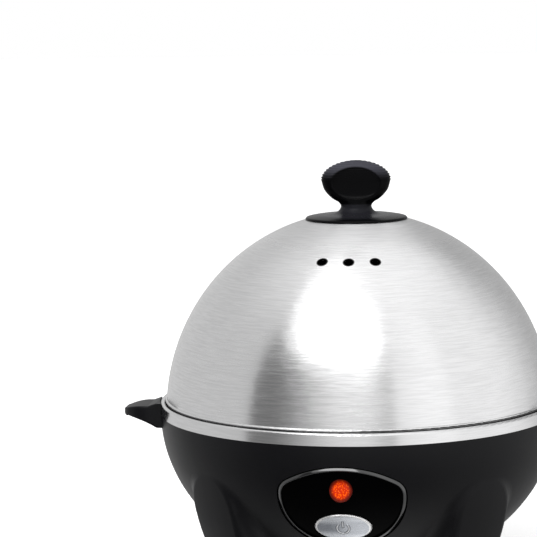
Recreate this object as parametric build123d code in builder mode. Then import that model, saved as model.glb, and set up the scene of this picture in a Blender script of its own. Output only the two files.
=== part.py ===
from build123d import *
import os
from math import cos, radians, sin, sqrt, tan

# Electric egg cooker: a black bowl on four legs, a steel rim, and a brushed steel dome lid.
# Millimetres. +Z is up, the control panel faces -Y, the table is z = 0 and the axis is x = y = 0.

os.makedirs("parts", exist_ok=True)

# Driving sizes of the bowl
rim_height = 72.0            # table to the lower edge of the steel rim
bowl_radius = 88.0           # outside radius of the bowl at the rim
bowl_depth = 72.5            # vertical half axis of the bowl's ellipse
bowl_bottom = 14.0           # table to the flat underside of the bowl
wall = 2.6                   # plastic wall of the bowl and the legs
floor_lip = 4.6              # thickness of the lip round the underside's opening

# Driving sizes of the steel parts
rim_band_height = 5.2
rim_band_width = 2.2
rim_edge_radius = 0.9
ledge_depth = 3.0            # from the top of the rim down to the ledge
ledge_reach = 8.8            # how far the ledge runs inwards from the band
ledge_boss_radius = 2.3
sheet = 0.8                  # steel sheet of the ledge, pan and lid
pan_depth = 11.6             # from the pan's flange down to its floor
pan_draft = 2.5              # how much narrower the pan is at its floor
pan_corner_radius = 3.0
gasket_thickness = 1.8
gasket_setback = 1.0         # from the pan's inner edge to the gasket's
pan_step = 1.0               # how much wider the pan's mouth is than the ledge
pan_side_gap = 0.7           # between the pan's wall and the shoulder that carries it
shoulder_thickness = 2.8

# Driving sizes of the lid and its knob
lid_half_height = 88.6       # vertical half axis of the dome's ellipse
lid_centre_drop = 0.86       # how far the dome's centre lies below the rim's lower edge
lid_side_gap = 0.3           # between the lid's edge and the rim
lid_turn = 1.2               # degrees that the lid is turned on the base
hem_radius = 0.55
hem_rise = 0.85              # from the top of the rim to the middle of the rolled hem
vent_count = 3
vent_radius = 2.0
vent_ring_radius = 49.5
vent_step = 13.15            # degrees between two vents
crown_radius = 7.5           # flat land in the middle of the dome
knob_turn = 6.0              # degrees that the knob is turned on the base
knob_plate_radius = 22.5
knob_plate_edge = 1.3
knob_plate_rise = 3.3        # from the plate's lower edge to the foot of the neck
knob_neck_radius = 7.0
knob_neck_blend = 2.6
knob_plate_slope = 0.5       # how steeply the plate's top starts at its edge
knob_plate_round = 1.0
knob_grip_half_width = 15.6
knob_grip_half_height = 8.8
knob_grip_rise = 17.1        # from the plate's lower edge to the middle of the grip
knob_grip_thickness = 12.0
knob_grip_round = 3.2
knob_dish_half_width = 10.9
knob_dish_half_height = 6.4
knob_dish_depth = 1.4
knob_dish_floor_inset = 3.6  # how much smaller the dish is at its floor
knob_washer_radius = 7.0
knob_washer_thickness = 1.0
knob_screw_radius = 2.0
knob_screw_reach = 12.0
knob_screw_head_radius = 4.9

# Driving sizes of the egg tray
tray_thickness = 2.0
tray_edge_gap = 0.9          # between the tray and the inside of the lid
tray_skirt_depth = 6.0
tray_skirt_wall = 1.6
egg_hole_radius = 17.0
egg_hole_bevel = 1.2
egg_ring_inset = 25.0        # from the ledge's inner edge in to the ring of egg holes
egg_count_in_ring = 6
collar_wall = 1.8
collar_depth = 5.0
drain_radius = 2.0
drain_ring_radius = 26.0
tab_inset = 11.8             # from the tray's edge in to a finger tab
tab_thickness = 3.0
tab_width = 22.0
tab_height = 20.0
tab_corner_radius = 8.8
tab_hole_radius = 6.0

# Driving sizes of the legs and feet
leg_azimuth = 45.0           # degrees from the front to the middle of a leg
leg_top_setback = 2.4        # from the bowl's radius in to where a leg's face begins
leg_top_drop = 10.0
leg_knee_setback = 7.6
leg_knee_drop = 42.0
leg_foot_setback = 20.5
leg_depth = 16.5             # from a foot's outer edge to its inner edge
leg_half_width = 15.3
leg_foot_half_width = 11.5
leg_arch_rise = 19.0         # height of the rounded top of a leg's outline
leg_arch_top_drop = 15.0     # from the rim to the top of a leg's outline
leg_edge_radius = 3.5
leg_blend_share = 0.92       # radius of the valley beside a leg, as a share of how far its knee stands out
on_surface = 0.02            # how near an edge must lie to count as on a surface
foot_radius = 7.0
foot_thickness = 3.0
foot_recess = 1.5
foot_chamfer = 0.5

# Driving sizes of the handles
handle_reach = 15.4          # from the bowl's radius out to the tip
handle_inset = 8.0           # how far the root starts inside the bowl's radius
handle_forward = 11.5        # how far the middle of a handle stands in front of the bowl's axis
handle_half_width = 9.8
handle_nose_length = 12.5    # length of the half oval that ends the outline seen from above
handle_top_rise = 4.0
handle_root_drop = 5.6       # where the underside meets the bowl
handle_crest_run = 3.4       # how far the slope up to the top of the rim reaches
handle_waist_run = 6.4       # from the root to the middle of the underside
handle_waist_drop = 2.5
handle_tip_rise = 1.0
handle_lip_run = 2.0         # from the tip back to where the underside ends
handle_lip_drop = 0.85
handle_nose_run = 1.6        # from the tip back to where the top begins
handle_nose_rise = 2.6
handle_flat_run = 10.0       # from the tip back to the flat top
handle_top_round = 0.8
handle_under_round = 1.2
handle_edge_reach = 0.2      # how near an edge must lie to count as on a handle's outline
rim_side_gap = 0.15

# Driving sizes of the control panel
panel_top_drop = 8.6         # from the rim to the top of the panel's outline
panel_shoulder_half_width = 23.5
panel_shoulder_drop = 14.95
panel_half_width = 27.2
panel_widest_drop = 21.0
panel_waist_half_width = 19.0
panel_waist_drop = 40.3
panel_recess = 1.4
panel_ledge = 3.0
bezel_width = 1.8
bezel_rise = 0.6
fascia_sink = 0.3
seat_gap = 0.05              # between pieces that are seated on one another

# Driving sizes of the controls
button_drop = 36.5           # from the rim to the middle of the power button
button_half_width = 11.9
button_half_height = 6.3
button_rise = 0.9
button_edge_radius = 0.6
button_gap = 0.3
button_depth = 20.8          # from the bowl's radius in to the button's retaining flange
button_flange_overhang = 1.5
button_flange_thickness = 1.5
button_travel = 2.5
lens_drop = 19.0
lens_radius = 4.8
lens_rise = 0.5
lens_depth = 8.0             # from the bowl's radius in to the lens's inner end
lens_gap = 0.1
bulb_radius = 2.7
bulb_length = 11.0
bulb_tip_round = 2.4

# Driving sizes of the carrier that holds the switch and the lamp
carrier_depth = 26.0         # from the bowl's radius in to the carrier's front
carrier_thickness = 2.0
carrier_half_width = 31.0
carrier_top_drop = 16.0
carrier_wing_bottom_drop = 35.0
carrier_stem_half_width = 15.0
carrier_bottom_drop = 43.5
carrier_boss_x = 27.3
carrier_boss_drop = 27.0
lamp_tube_radius = 4.6
lamp_tube_bore = 3.3
switch_width = 13.0
switch_height = 13.0
switch_length = 15.0
plunger_radius = 2.2
plunger_stroke_room = 0.5
plunger_depth = 6.0
plunger_gap = 0.3
blade_width = 6.3
blade_thickness = 0.8
blade_length = 7.0

# Driving sizes of the heater
heater_plate_radius = 55.0
heater_plate_thickness = 3.0
element_ring_radius = 42.0
element_radius = 3.2
element_flat = 0.4
element_gap_angle = 44.0     # degrees left open between the element's ends
element_pin_radius = 1.6
element_pin_length = 7.0
thermostat_radius = 9.0
thermostat_height = 7.0
thermostat_blade_x = 5.0
strap_sheet = 1.0
strap_width = 14.0
strap_foot = 9.0
strap_window_room = 2.0      # round the thermostat's blades, on each side
fuse_radius = 2.4
fuse_length = 20.0
fuse_setback = 24.0          # from the axis towards the front

# Driving sizes of the underside, the cord's inlet and the fasteners
cover_thickness = 2.0
cover_margin = 3.3           # from the edge of the flat underside in to the cover's rebate
cover_rebate = 9.5           # width of that rebate
cover_gap = 0.3
cover_screw_inset = 4.7
cover_screw_sink = 1.0
cover_screw_count = 4
cover_vent_count = 6
cover_vent_length = 18.0
cover_vent_width = 2.4
cover_vent_pitch = 6.0
boss_radius = 4.0
boss_height = 8.0
screw_radius = 1.5
screw_head_radius = 2.8
screw_head_height = 1.8
screw_head_round_share = 0.25
screw_gap = 0.05
gland_drop = 38.0
gland_depth = 12.0           # from the bowl's radius in to the inlet's flat face
gland_pad_radius = 11.0
gland_pad_depth = 12.0
gland_neck_radius = 5.5
gland_flange_radius = 8.5
gland_flange_thickness = 2.5
gland_catch_radius = 7.0
gland_catch_thickness = 2.0
gland_bore_radius = 3.5
gland_edge_radius = 0.8
block_length = 26.0
block_width = 14.0
block_height = 12.0
block_y = 20.0
block_pitch = 8.0
block_corner_radius = 1.0
lead_radius = 1.0
lamp_lead_radius = 0.6
lamp_lead_x = 1.4
lead_bend_share = 0.45       # of the shorter run beside a bend
lead_out = 5.0               # straight stretch where a lead leaves an element pin
vent_cut_depth = 2.4

# Heights and radii that follow from them
rim_top = rim_height + rim_band_height
ledge_top = rim_top - ledge_depth
ledge_bottom = ledge_top - sheet
band_inner_radius = bowl_radius - rim_band_width
ledge_inner_radius = band_inner_radius - ledge_reach
lid_radius = band_inner_radius - lid_side_gap
lid_centre = rim_height - lid_centre_drop
pan_flange_top = ledge_bottom - gasket_thickness
shoulder_top = pan_flange_top - sheet
shoulder_bottom = shoulder_top - shoulder_thickness
pan_top_radius = ledge_inner_radius + pan_step
pan_floor_top = pan_flange_top - pan_depth
pan_floor_bottom = pan_floor_top - sheet
shoulder_inner_radius = pan_top_radius + sheet + pan_side_gap
flange_outer_radius = band_inner_radius - sheet
ring_screw_radius = (shoulder_inner_radius + flange_outer_radius) / 2
heater_plate_bottom = pan_floor_bottom - heater_plate_thickness
element_height = heater_plate_bottom - element_radius + element_flat
foot_height = foot_thickness - foot_recess
floor_top = bowl_bottom + floor_lip
cover_top = bowl_bottom + cover_thickness
button_height = rim_height - button_drop
lens_height = rim_height - lens_drop
carrier_front = bowl_radius - carrier_depth
carrier_back = carrier_front - carrier_thickness
button_back = bowl_radius - button_depth
lens_back = bowl_radius - lens_depth
gland_face = bowl_radius - gland_depth
leg_foot_radius = bowl_radius - leg_foot_setback
leg_inner_radius = leg_foot_radius - leg_depth
tray_radius = lid_radius - sheet - tray_edge_gap
egg_ring_radius = ledge_inner_radius - egg_ring_inset
tab_distance = tray_radius - tab_inset
fuse_y = -fuse_setback


def bowl_form(inset, low, high):
    """The solid inside the bowl's outer surface, moved inwards by inset, between two heights."""
    with BuildPart() as form:
        with BuildSketch(Plane.XZ):
            with Locations((0, rim_height)):
                Ellipse(bowl_radius - inset, bowl_depth - inset)
            with Locations((0, low)):
                Rectangle(bowl_radius * 2, high - low, align=(Align.MIN, Align.MIN), mode=Mode.INTERSECT)
        revolve(axis=Axis.Z)
    return form.part


def bowl_radius_at(height, inset=0.0):
    """Radius of the bowl's surface, moved inwards by inset, at a height."""
    level = (height - rim_height) / (bowl_depth - inset)
    return (bowl_radius - inset) * sqrt(1 - level * level)


leg_knee_reach = bowl_radius - leg_knee_setback - bowl_radius_at(rim_height - leg_knee_drop)
leg_blend_radius = leg_blend_share * leg_knee_reach
cover_radius = bowl_radius_at(bowl_bottom) - cover_margin
cover_opening_radius = cover_radius - cover_rebate
cover_screw_ring_radius = cover_radius - cover_screw_inset


def dome_height_at(radius, inset=0.0):
    """Height of the lid's surface, moved inwards by inset, at a distance from the axis."""
    level = radius / (lid_radius - inset)
    return lid_centre + (lid_half_height - inset) * sqrt(1 - level * level)


def dome_form(inset, top):
    """The solid inside the lid's outer surface, moved inwards by inset, from the ledge to a height."""
    with BuildPart() as form:
        with BuildSketch(Plane.XZ):
            with Locations((0, lid_centre)):
                Ellipse(lid_radius - inset, lid_half_height - inset)
            with Locations((0, ledge_top)):
                Rectangle(
                    lid_radius * 2, top - ledge_top, align=(Align.MIN, Align.MIN), mode=Mode.INTERSECT
                )
        revolve(axis=Axis.Z)
    return form.part


def screw(plane, reach, shank=screw_radius, head=screw_head_radius):
    """A screw whose head sits on the plane's outer side and whose shank runs to the other side."""
    with BuildPart() as one:
        with BuildSketch(plane):
            Circle(head)
        extrude(amount=screw_head_height)
        crown = one.faces().sort_by(Axis(plane.origin, plane.z_dir))[-1]
        fillet(crown.edges(), head * screw_head_round_share)
        with BuildSketch(plane):
            Circle(shank)
        extrude(amount=-reach)
    return one.part


def radial_plane(azimuth):
    """Plane through the axis that looks outwards at an angle from +X, with its y upwards."""
    out = (cos(radians(azimuth)), sin(radians(azimuth)), 0)
    side = (-sin(radians(azimuth)), cos(radians(azimuth)), 0)
    return Plane(origin=(0, 0, 0), x_dir=side, z_dir=out)


def leg_skin(inset):
    """Ring that the legs are cut from: the leg's face outside and a straight wall inside."""
    top = rim_height - leg_top_drop
    knee = rim_height - leg_knee_drop
    bottom = foot_height + (floor_lip if inset else 0)
    with BuildPart() as skin:
        with BuildSketch(Plane.XZ):
            with BuildLine():
                face = ThreePointArc(
                    (bowl_radius - leg_top_setback - inset, top),
                    (bowl_radius - leg_knee_setback - inset, knee),
                    (leg_foot_radius - inset, foot_height),
                )
                Line(face @ 1, (leg_inner_radius + inset, foot_height))
                Line((leg_inner_radius + inset, foot_height), (leg_inner_radius + inset, top))
                Line((leg_inner_radius + inset, top), face @ 0)
            make_face()
            with Locations((0, bottom)):
                Rectangle(bowl_radius * 2, rim_height, align=(Align.MIN, Align.MIN), mode=Mode.INTERSECT)
        revolve(axis=Axis.Z)
    return skin.part


def is_leg_edge(edge, azimuth):
    """Whether an edge runs up a leg between its face and one of its sides."""
    middle = edge.center()
    out = middle.X * cos(radians(azimuth)) + middle.Y * sin(radians(azimuth))
    upright = edge.bounding_box().size.Z > leg_edge_radius
    return upright and out > (leg_inner_radius + leg_foot_radius) / 2


def leg(azimuth, inset):
    """One leg, or with an inset the hollow inside it."""
    spring_line = rim_height - leg_arch_top_drop - leg_arch_rise
    with BuildPart() as one:
        with BuildSketch(radial_plane(azimuth)):
            with Locations((0, spring_line)):
                Ellipse(leg_half_width - inset, leg_arch_rise - inset)
                Rectangle(bowl_radius, bowl_radius, align=(Align.CENTER, Align.MIN), mode=Mode.INTERSECT)
            with BuildLine():
                left, right = (
                    TangentArc(
                        (side * (leg_half_width - inset), spring_line),
                        (side * (leg_foot_half_width - inset), foot_height),
                        tangent=(0, -1),
                    )
                    for side in (-1, 1)
                )
                Line(left @ 0, right @ 0)
                Line(left @ 1, right @ 1)
            make_face()
        extrude(amount=bowl_radius)
        add(leg_skin(inset), mode=Mode.INTERSECT)
        if not inset:
            outer = one.edges().filter_by(lambda edge: is_leg_edge(edge, azimuth))
            fillet(outer, leg_edge_radius)
    return one.part


def is_leg_valley(edge):
    """Whether an edge lies where a leg's side meets the bowl."""
    box = edge.bounding_box()
    level = box.size.Z < on_surface
    if level or box.min.Z < bowl_bottom - on_surface or box.max.Z > rim_height - leg_top_drop:
        return False
    spots = [edge.position_at(share) for share in (0, 0.5, 1)]
    off = [abs(sqrt(spot.X ** 2 + spot.Y ** 2) - bowl_radius_at(spot.Z)) for spot in spots]
    return max(off) < on_surface


def is_handle_edge(edge):
    """Whether an edge runs along a handle's outline, on its top or its underside, outside the bowl."""
    shoulder = bowl_radius + handle_reach - handle_nose_length
    for share in (0.1, 0.5, 0.9):
        spot = edge.position_at(share)
        into_nose = min(max(spot.X - shoulder, 0) / handle_nose_length, 1)
        side = handle_half_width * sqrt(1 - into_nose ** 2)
        if spot.X < bowl_radius + rim_side_gap or abs(abs(spot.Y) - side) > handle_edge_reach:
            return False
    return abs((edge @ 0).X - (edge @ 1).X) > handle_edge_reach


def handle(side):
    """A short tab beside the rim, with an oval end and a slope up to the top of the rim."""
    inner = bowl_radius - handle_inset
    root = bowl_radius + rim_side_gap
    tip = bowl_radius + handle_reach
    low = rim_height - handle_root_drop
    top = rim_height + handle_top_rise
    with BuildPart() as tab:
        with BuildSketch(Plane.XZ):
            with BuildLine():
                under = ThreePointArc(
                    (root, low),
                    (root + handle_waist_run, rim_height - handle_waist_drop),
                    (tip - handle_lip_run, rim_height - handle_lip_drop),
                )
                nose = ThreePointArc(
                    under @ 1,
                    (tip, rim_height + handle_tip_rise),
                    (tip - handle_nose_run, rim_height + handle_nose_rise),
                )
                TangentArc(nose @ 1, (tip - handle_flat_run, top), tangent=(1, 0), tangent_from_first=False)
                Polyline(
                    (tip - handle_flat_run, top),
                    (root + handle_crest_run, top),
                    (root, rim_top),
                    (inner, rim_top),
                    (inner, low),
                    under @ 0,
                )
            make_face()
        extrude(amount=handle_half_width, both=True)
        with BuildSketch(Plane.XY.offset(low)):
            with BuildLine():
                oval = EllipticalCenterArc(
                    (tip - handle_nose_length, 0),
                    handle_nose_length,
                    handle_half_width,
                    start_angle=-90,
                    arc_size=180,
                )
                Polyline(oval @ 1, (inner, handle_half_width), (inner, -handle_half_width), oval @ 0)
            make_face()
        extrude(amount=rim_top - low, mode=Mode.INTERSECT)
        outline = tab.edges().filter_by(is_handle_edge)
        middle = rim_height + handle_tip_rise
        fillet(outline.filter_by(lambda edge: (edge @ 0.5).Z > middle), handle_top_round)
        outline = tab.edges().filter_by(is_handle_edge)
        fillet(outline.filter_by(lambda edge: (edge @ 0.5).Z < middle), handle_under_round)
    placed = Pos(0, -handle_forward, 0) * tab.part
    return placed if side > 0 else mirror(placed, Plane.YZ)


def panel_outline(inset):
    """Face of the panel's shield outline on the front plane, drawn inwards by inset."""
    with BuildSketch(Plane.XZ) as shield:
        with BuildLine() as half:
            top = (0, rim_height - panel_top_drop)
            shoulder = (panel_shoulder_half_width, rim_height - panel_shoulder_drop)
            widest = (panel_half_width, rim_height - panel_widest_drop)
            waist = (panel_waist_half_width, rim_height - panel_waist_drop)
            crest = TangentArc(top, shoulder, tangent=(1, 0))
            corner = TangentArc(shoulder, widest, tangent=crest % 1)
            side = TangentArc(widest, waist, tangent=corner % 1)
            # The last arc drops so far that it meets its mirror image level
            heading = side % 1
            bottom_drop = panel_waist_drop + panel_waist_half_width * (1 + heading.X) / -heading.Y
            TangentArc(waist, (0, rim_height - bottom_drop), tangent=heading)
            mirror(half.edges(), about=Plane.YZ)
        make_face()
        if inset:
            offset(amount=-inset)
    return shield.sketch


def panel_layer(outer_inset, inner_inset, low_inset, high_inset):
    """Piece of the panel between two outlines and between two depths of the bowl's surface."""
    with BuildPart() as layer:
        extrude(panel_outline(outer_inset), amount=bowl_radius + 2 * wall)
        if inner_inset:
            extrude(panel_outline(inner_inset), amount=bowl_radius + 2 * wall, mode=Mode.SUBTRACT)
        add(bowl_form(high_inset, bowl_bottom, rim_height), mode=Mode.INTERSECT)
        add(bowl_form(low_inset, bowl_bottom, rim_height), mode=Mode.SUBTRACT)
    return layer.part


# Black bowl with its legs and handles
ring_screw_spots = PolarLocations(ring_screw_radius, 4, start_angle=45)
cover_screw_spots = PolarLocations(cover_screw_ring_radius, cover_screw_count, start_angle=0)
leg_angles = [leg_azimuth - 90, -leg_azimuth - 90, 90 - leg_azimuth, 90 + leg_azimuth]
foot_ring_radius = (leg_inner_radius + leg_foot_radius) / 2
gland_height = rim_height - gland_drop
gland_plane = Plane(origin=(0, gland_face, gland_height), x_dir=(1, 0, 0), z_dir=(0, 1, 0))
carrier_boss_height = rim_height - carrier_boss_drop
carrier_boss_plane = Plane.XZ.offset(carrier_front)
inside_form = bowl_form(wall / 2, bowl_bottom, rim_height)

with BuildPart() as carrier_bosses:
    with BuildSketch(carrier_boss_plane):
        with Locations((-carrier_boss_x, carrier_boss_height), (carrier_boss_x, carrier_boss_height)):
            Circle(boss_radius)
    extrude(amount=bowl_radius)
    add(inside_form, mode=Mode.INTERSECT)

with BuildPart() as cover_bosses:
    with BuildSketch(Plane.XY.offset(bowl_bottom + cover_thickness)):
        with cover_screw_spots:
            Circle(boss_radius)
    extrude(amount=floor_lip - cover_thickness + boss_height)
    add(inside_form, mode=Mode.INTERSECT)

with BuildPart() as gland_pad:
    with BuildSketch(gland_plane):
        Circle(gland_pad_radius)
    extrude(amount=-gland_pad_depth)

with BuildPart() as base_housing:
    add(bowl_form(0, bowl_bottom, rim_height))
    for azimuth in leg_angles:
        add(leg(azimuth, 0))
    fillet(base_housing.edges().filter_by(is_leg_valley), leg_blend_radius)
    add(handle(1))
    add(handle(-1))
    # Room for the steel rim above the wall
    with BuildSketch(Plane.XY.offset(rim_height)):
        Circle(bowl_radius + rim_side_gap)
    extrude(amount=rim_band_height, mode=Mode.SUBTRACT)
    add(bowl_form(wall, floor_top, rim_height), mode=Mode.SUBTRACT)
    for azimuth in leg_angles:
        add(leg(azimuth, wall), mode=Mode.SUBTRACT)
    add(carrier_bosses.part)
    add(cover_bosses.part)
    add(gland_pad.part)
    # Shoulder that carries the pan's flange
    with BuildSketch(Plane.XY.offset(shoulder_bottom)):
        Circle(bowl_radius_at(shoulder_bottom, wall / 2))
        Circle(shoulder_inner_radius, mode=Mode.SUBTRACT)
    extrude(amount=shoulder_top - shoulder_bottom)
    with BuildSketch(Plane.XY.offset(shoulder_bottom)):
        with ring_screw_spots:
            Circle(screw_radius + screw_gap)
    extrude(amount=shoulder_top - shoulder_bottom, mode=Mode.SUBTRACT)
    # Opening and rebate for the cover underneath
    with BuildSketch(Plane.XY.offset(bowl_bottom)):
        Circle(cover_opening_radius)
    extrude(amount=floor_lip, mode=Mode.SUBTRACT)
    with BuildSketch(Plane.XY.offset(bowl_bottom)):
        Circle(cover_radius)
    extrude(amount=cover_thickness, mode=Mode.SUBTRACT)
    with BuildSketch(Plane.XY.offset(bowl_bottom)):
        with cover_screw_spots:
            Circle(screw_radius + screw_gap)
    extrude(amount=floor_lip + boss_height - screw_radius, mode=Mode.SUBTRACT)
    # Window and recess of the control panel
    add(panel_layer(0, 0, panel_recess, -wall), mode=Mode.SUBTRACT)
    extrude(panel_outline(panel_ledge), amount=bowl_radius, mode=Mode.SUBTRACT)
    with BuildSketch(carrier_boss_plane):
        with Locations((-carrier_boss_x, carrier_boss_height), (carrier_boss_x, carrier_boss_height)):
            Circle(screw_radius + screw_gap)
    extrude(amount=boss_radius * 2, mode=Mode.SUBTRACT)
    # Flat seat and hole for the cord's gland
    with BuildSketch(gland_plane):
        Circle(gland_flange_radius + rim_side_gap)
    extrude(amount=bowl_radius - gland_face, mode=Mode.SUBTRACT)
    with BuildSketch(gland_plane):
        Circle(gland_neck_radius + seat_gap)
    extrude(amount=-gland_pad_depth, mode=Mode.SUBTRACT)
    # Recesses of the rubber feet
    with BuildSketch(Plane.XY.offset(foot_height)):
        for azimuth in leg_angles:
            with PolarLocations(foot_ring_radius, 1, start_angle=azimuth):
                Circle(foot_radius + seat_gap)
    extrude(amount=foot_recess, mode=Mode.SUBTRACT)
base_housing.part.label = "base_housing"
export_step(base_housing.part, "parts/base_housing.step")

# Rubber feet
with BuildPart() as rubber_feet:
    with BuildSketch(Plane.XY):
        for azimuth in leg_angles:
            with PolarLocations(foot_ring_radius, 1, start_angle=azimuth):
                Circle(foot_radius)
    extrude(amount=foot_thickness)
    chamfer(rubber_feet.edges().group_by(Axis.Z)[0], foot_chamfer)
rubber_feet.part.label = "rubber_feet"
export_step(rubber_feet.part, "parts/rubber_feet.step")

# Steel rim with the ledge that carries the tray and the lid
with BuildPart() as rim_ring:
    with BuildSketch(Plane.XZ):
        with Locations((band_inner_radius, rim_height)):
            Rectangle(rim_band_width, rim_band_height, align=(Align.MIN, Align.MIN))
        with Locations((ledge_inner_radius, ledge_bottom)):
            Rectangle(ledge_reach, sheet, align=(Align.MIN, Align.MIN))
    revolve(axis=Axis.Z)
    fillet(rim_ring.edges().group_by(Axis.Z)[-1], rim_edge_radius)
    with BuildSketch(Plane.XY.offset(ledge_bottom)):
        with ring_screw_spots:
            Circle(ledge_boss_radius)
    extrude(amount=shoulder_top - ledge_bottom)
    with BuildSketch(Plane.XY.offset(shoulder_top)):
        with ring_screw_spots:
            Circle(screw_radius + screw_gap)
    extrude(amount=ledge_bottom - shoulder_top, mode=Mode.SUBTRACT)
rim_ring.part.label = "rim_ring"
export_step(rim_ring.part, "parts/rim_ring.step")

# Screws that hold the rim from below
with BuildPart() as rim_screws:
    for spot in ring_screw_spots:
        below = Plane(origin=(spot.position.X, spot.position.Y, shoulder_bottom), z_dir=(0, 0, -1))
        add(screw(below, ledge_bottom - shoulder_bottom - seat_gap, head=ledge_boss_radius))
rim_screws.part.label = "rim_screws"
export_step(rim_screws.part, "parts/rim_screws.step")

# Silicone gasket between the rim's ledge and the pan
with BuildPart() as pan_gasket:
    with BuildSketch(Plane.XY.offset(pan_flange_top)):
        Circle(flange_outer_radius)
        Circle(pan_top_radius + gasket_setback, mode=Mode.SUBTRACT)
        with ring_screw_spots:
            Circle(ledge_boss_radius + rim_side_gap, mode=Mode.SUBTRACT)
    extrude(amount=gasket_thickness)
pan_gasket.part.label = "pan_gasket"
export_step(pan_gasket.part, "parts/pan_gasket.step")

# Steel water pan that hangs by its flange
with BuildPart() as water_pan:
    with BuildSketch(Plane.XZ) as pan_section:
        with BuildLine():
            Polyline(
                (flange_outer_radius, pan_flange_top),
                (pan_top_radius, pan_flange_top),
                (pan_top_radius - pan_draft, pan_floor_top),
                (0, pan_floor_top),
                (0, pan_floor_bottom),
                (pan_top_radius - pan_draft + sheet, pan_floor_bottom),
                (pan_top_radius + sheet, shoulder_top),
                (flange_outer_radius, shoulder_top),
                close=True,
            )
        make_face()
        inner_corner = (pan_top_radius - pan_draft, pan_floor_top)
        outer_corner = (pan_top_radius - pan_draft + sheet, pan_floor_bottom)
        fillet(pan_section.vertices().sort_by_distance(inner_corner)[0], pan_corner_radius)
        fillet(pan_section.vertices().sort_by_distance(outer_corner)[0], pan_corner_radius + sheet)
    revolve(axis=Axis.Z)
    with BuildSketch(Plane.XY.offset(shoulder_top)):
        with ring_screw_spots:
            Circle(ledge_boss_radius + rim_side_gap)
    extrude(amount=sheet, mode=Mode.SUBTRACT)
water_pan.part.label = "water_pan"
export_step(water_pan.part, "parts/water_pan.step")

# Heater: aluminium plate, tubular element and its end pins
strap_half_length = thermostat_radius + strap_sheet + strap_foot
strap_screw_x = thermostat_radius + strap_sheet + strap_foot / 2
strap_screw_spots = [(-strap_screw_x, 0), (strap_screw_x, 0)]
fuse_strap_half_inner = fuse_radius + seat_gap
fuse_screw_y = fuse_y - fuse_strap_half_inner - strap_sheet - strap_foot / 2
plate_hole_depth = heater_plate_thickness - sheet

with BuildPart() as heater_plate:
    with BuildSketch(Plane.XY.offset(heater_plate_bottom)):
        Circle(heater_plate_radius)
    extrude(amount=heater_plate_thickness)
    with BuildSketch(Plane.XY.offset(heater_plate_bottom)):
        with Locations(*strap_screw_spots, (0, fuse_screw_y)):
            Circle(screw_radius + screw_gap)
    extrude(amount=plate_hole_depth, mode=Mode.SUBTRACT)
heater_plate.part.label = "heater_plate"
export_step(heater_plate.part, "parts/heater_plate.step")

element_start = 90 + element_gap_angle / 2
with BuildPart() as heating_element:
    with BuildSketch(Plane.XZ):
        with Locations((element_ring_radius, element_height)):
            Circle(element_radius)
        with Locations((element_ring_radius, heater_plate_bottom)):
            Rectangle(
                element_radius * 2, element_radius, align=(Align.CENTER, Align.MIN), mode=Mode.SUBTRACT
            )
    revolve(axis=Axis.Z, revolution_arc=360 - element_gap_angle)
heating_element.part = Rot(0, 0, element_start) * heating_element.part
heating_element.part.label = "heating_element"
export_step(heating_element.part, "parts/heating_element.step")


def pin_plane(side):
    """Plane on the end face of the element, looking into the gap between its ends."""
    end = radians(90 + side * element_gap_angle / 2)
    spot = (element_ring_radius * cos(end), element_ring_radius * sin(end), element_height)
    return Plane(origin=spot, x_dir=(0, 0, 1), z_dir=(side * sin(end), -side * cos(end), 0))


with BuildPart() as element_pins:
    for side in (-1, 1):
        with BuildSketch(pin_plane(side)):
            Circle(element_pin_radius)
        extrude(amount=element_pin_length)
element_pins.part.label = "element_pins"
export_step(element_pins.part, "parts/element_pins.step")

# Thermostat, thermal fuse and the straps that press them to the plate
thermostat_bottom = heater_plate_bottom - thermostat_height
with BuildPart() as thermostat:
    with BuildSketch(Plane.XY.offset(thermostat_bottom)):
        Circle(thermostat_radius)
    extrude(amount=thermostat_height)
    with BuildSketch(Plane.XY.offset(thermostat_bottom)):
        with Locations((-thermostat_blade_x, 0), (thermostat_blade_x, 0)):
            Rectangle(blade_thickness, blade_width)
    extrude(amount=-blade_length)
thermostat.part.label = "thermostat"
export_step(thermostat.part, "parts/thermostat.step")

with BuildPart() as thermostat_strap:
    with BuildSketch(Plane.XZ):
        with Locations((0, thermostat_bottom - strap_sheet - seat_gap)):
            Rectangle(
                2 * (thermostat_radius + seat_gap + strap_sheet),
                thermostat_height + strap_sheet + seat_gap,
                align=(Align.CENTER, Align.MIN),
            )
        with Locations((0, heater_plate_bottom)):
            Rectangle(2 * strap_half_length, strap_sheet, align=(Align.CENTER, Align.MAX))
        with Locations((0, thermostat_bottom - seat_gap)):
            Rectangle(
                2 * (thermostat_radius + seat_gap),
                thermostat_height + seat_gap,
                align=(Align.CENTER, Align.MIN),
                mode=Mode.SUBTRACT,
            )
    extrude(amount=strap_width / 2, both=True)
    with BuildSketch(Plane.XY.offset(thermostat_bottom - strap_sheet - seat_gap)):
        Rectangle(2 * (thermostat_blade_x + strap_window_room), blade_width + strap_window_room)
    extrude(amount=strap_sheet, mode=Mode.SUBTRACT)
    with BuildSketch(Plane.XY.offset(heater_plate_bottom)):
        with Locations(*strap_screw_spots):
            Circle(screw_radius + screw_gap)
    extrude(amount=-strap_sheet, mode=Mode.SUBTRACT)
thermostat_strap.part.label = "thermostat_strap"
export_step(thermostat_strap.part, "parts/thermostat_strap.step")

fuse_height = heater_plate_bottom - fuse_radius - seat_gap
with BuildPart() as thermal_fuse:
    with BuildSketch(Plane.YZ.offset(-fuse_length / 2)):
        with Locations((fuse_y, fuse_height)):
            Circle(fuse_radius)
    extrude(amount=fuse_length)
thermal_fuse.part.label = "thermal_fuse"
export_step(thermal_fuse.part, "parts/thermal_fuse.step")

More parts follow.
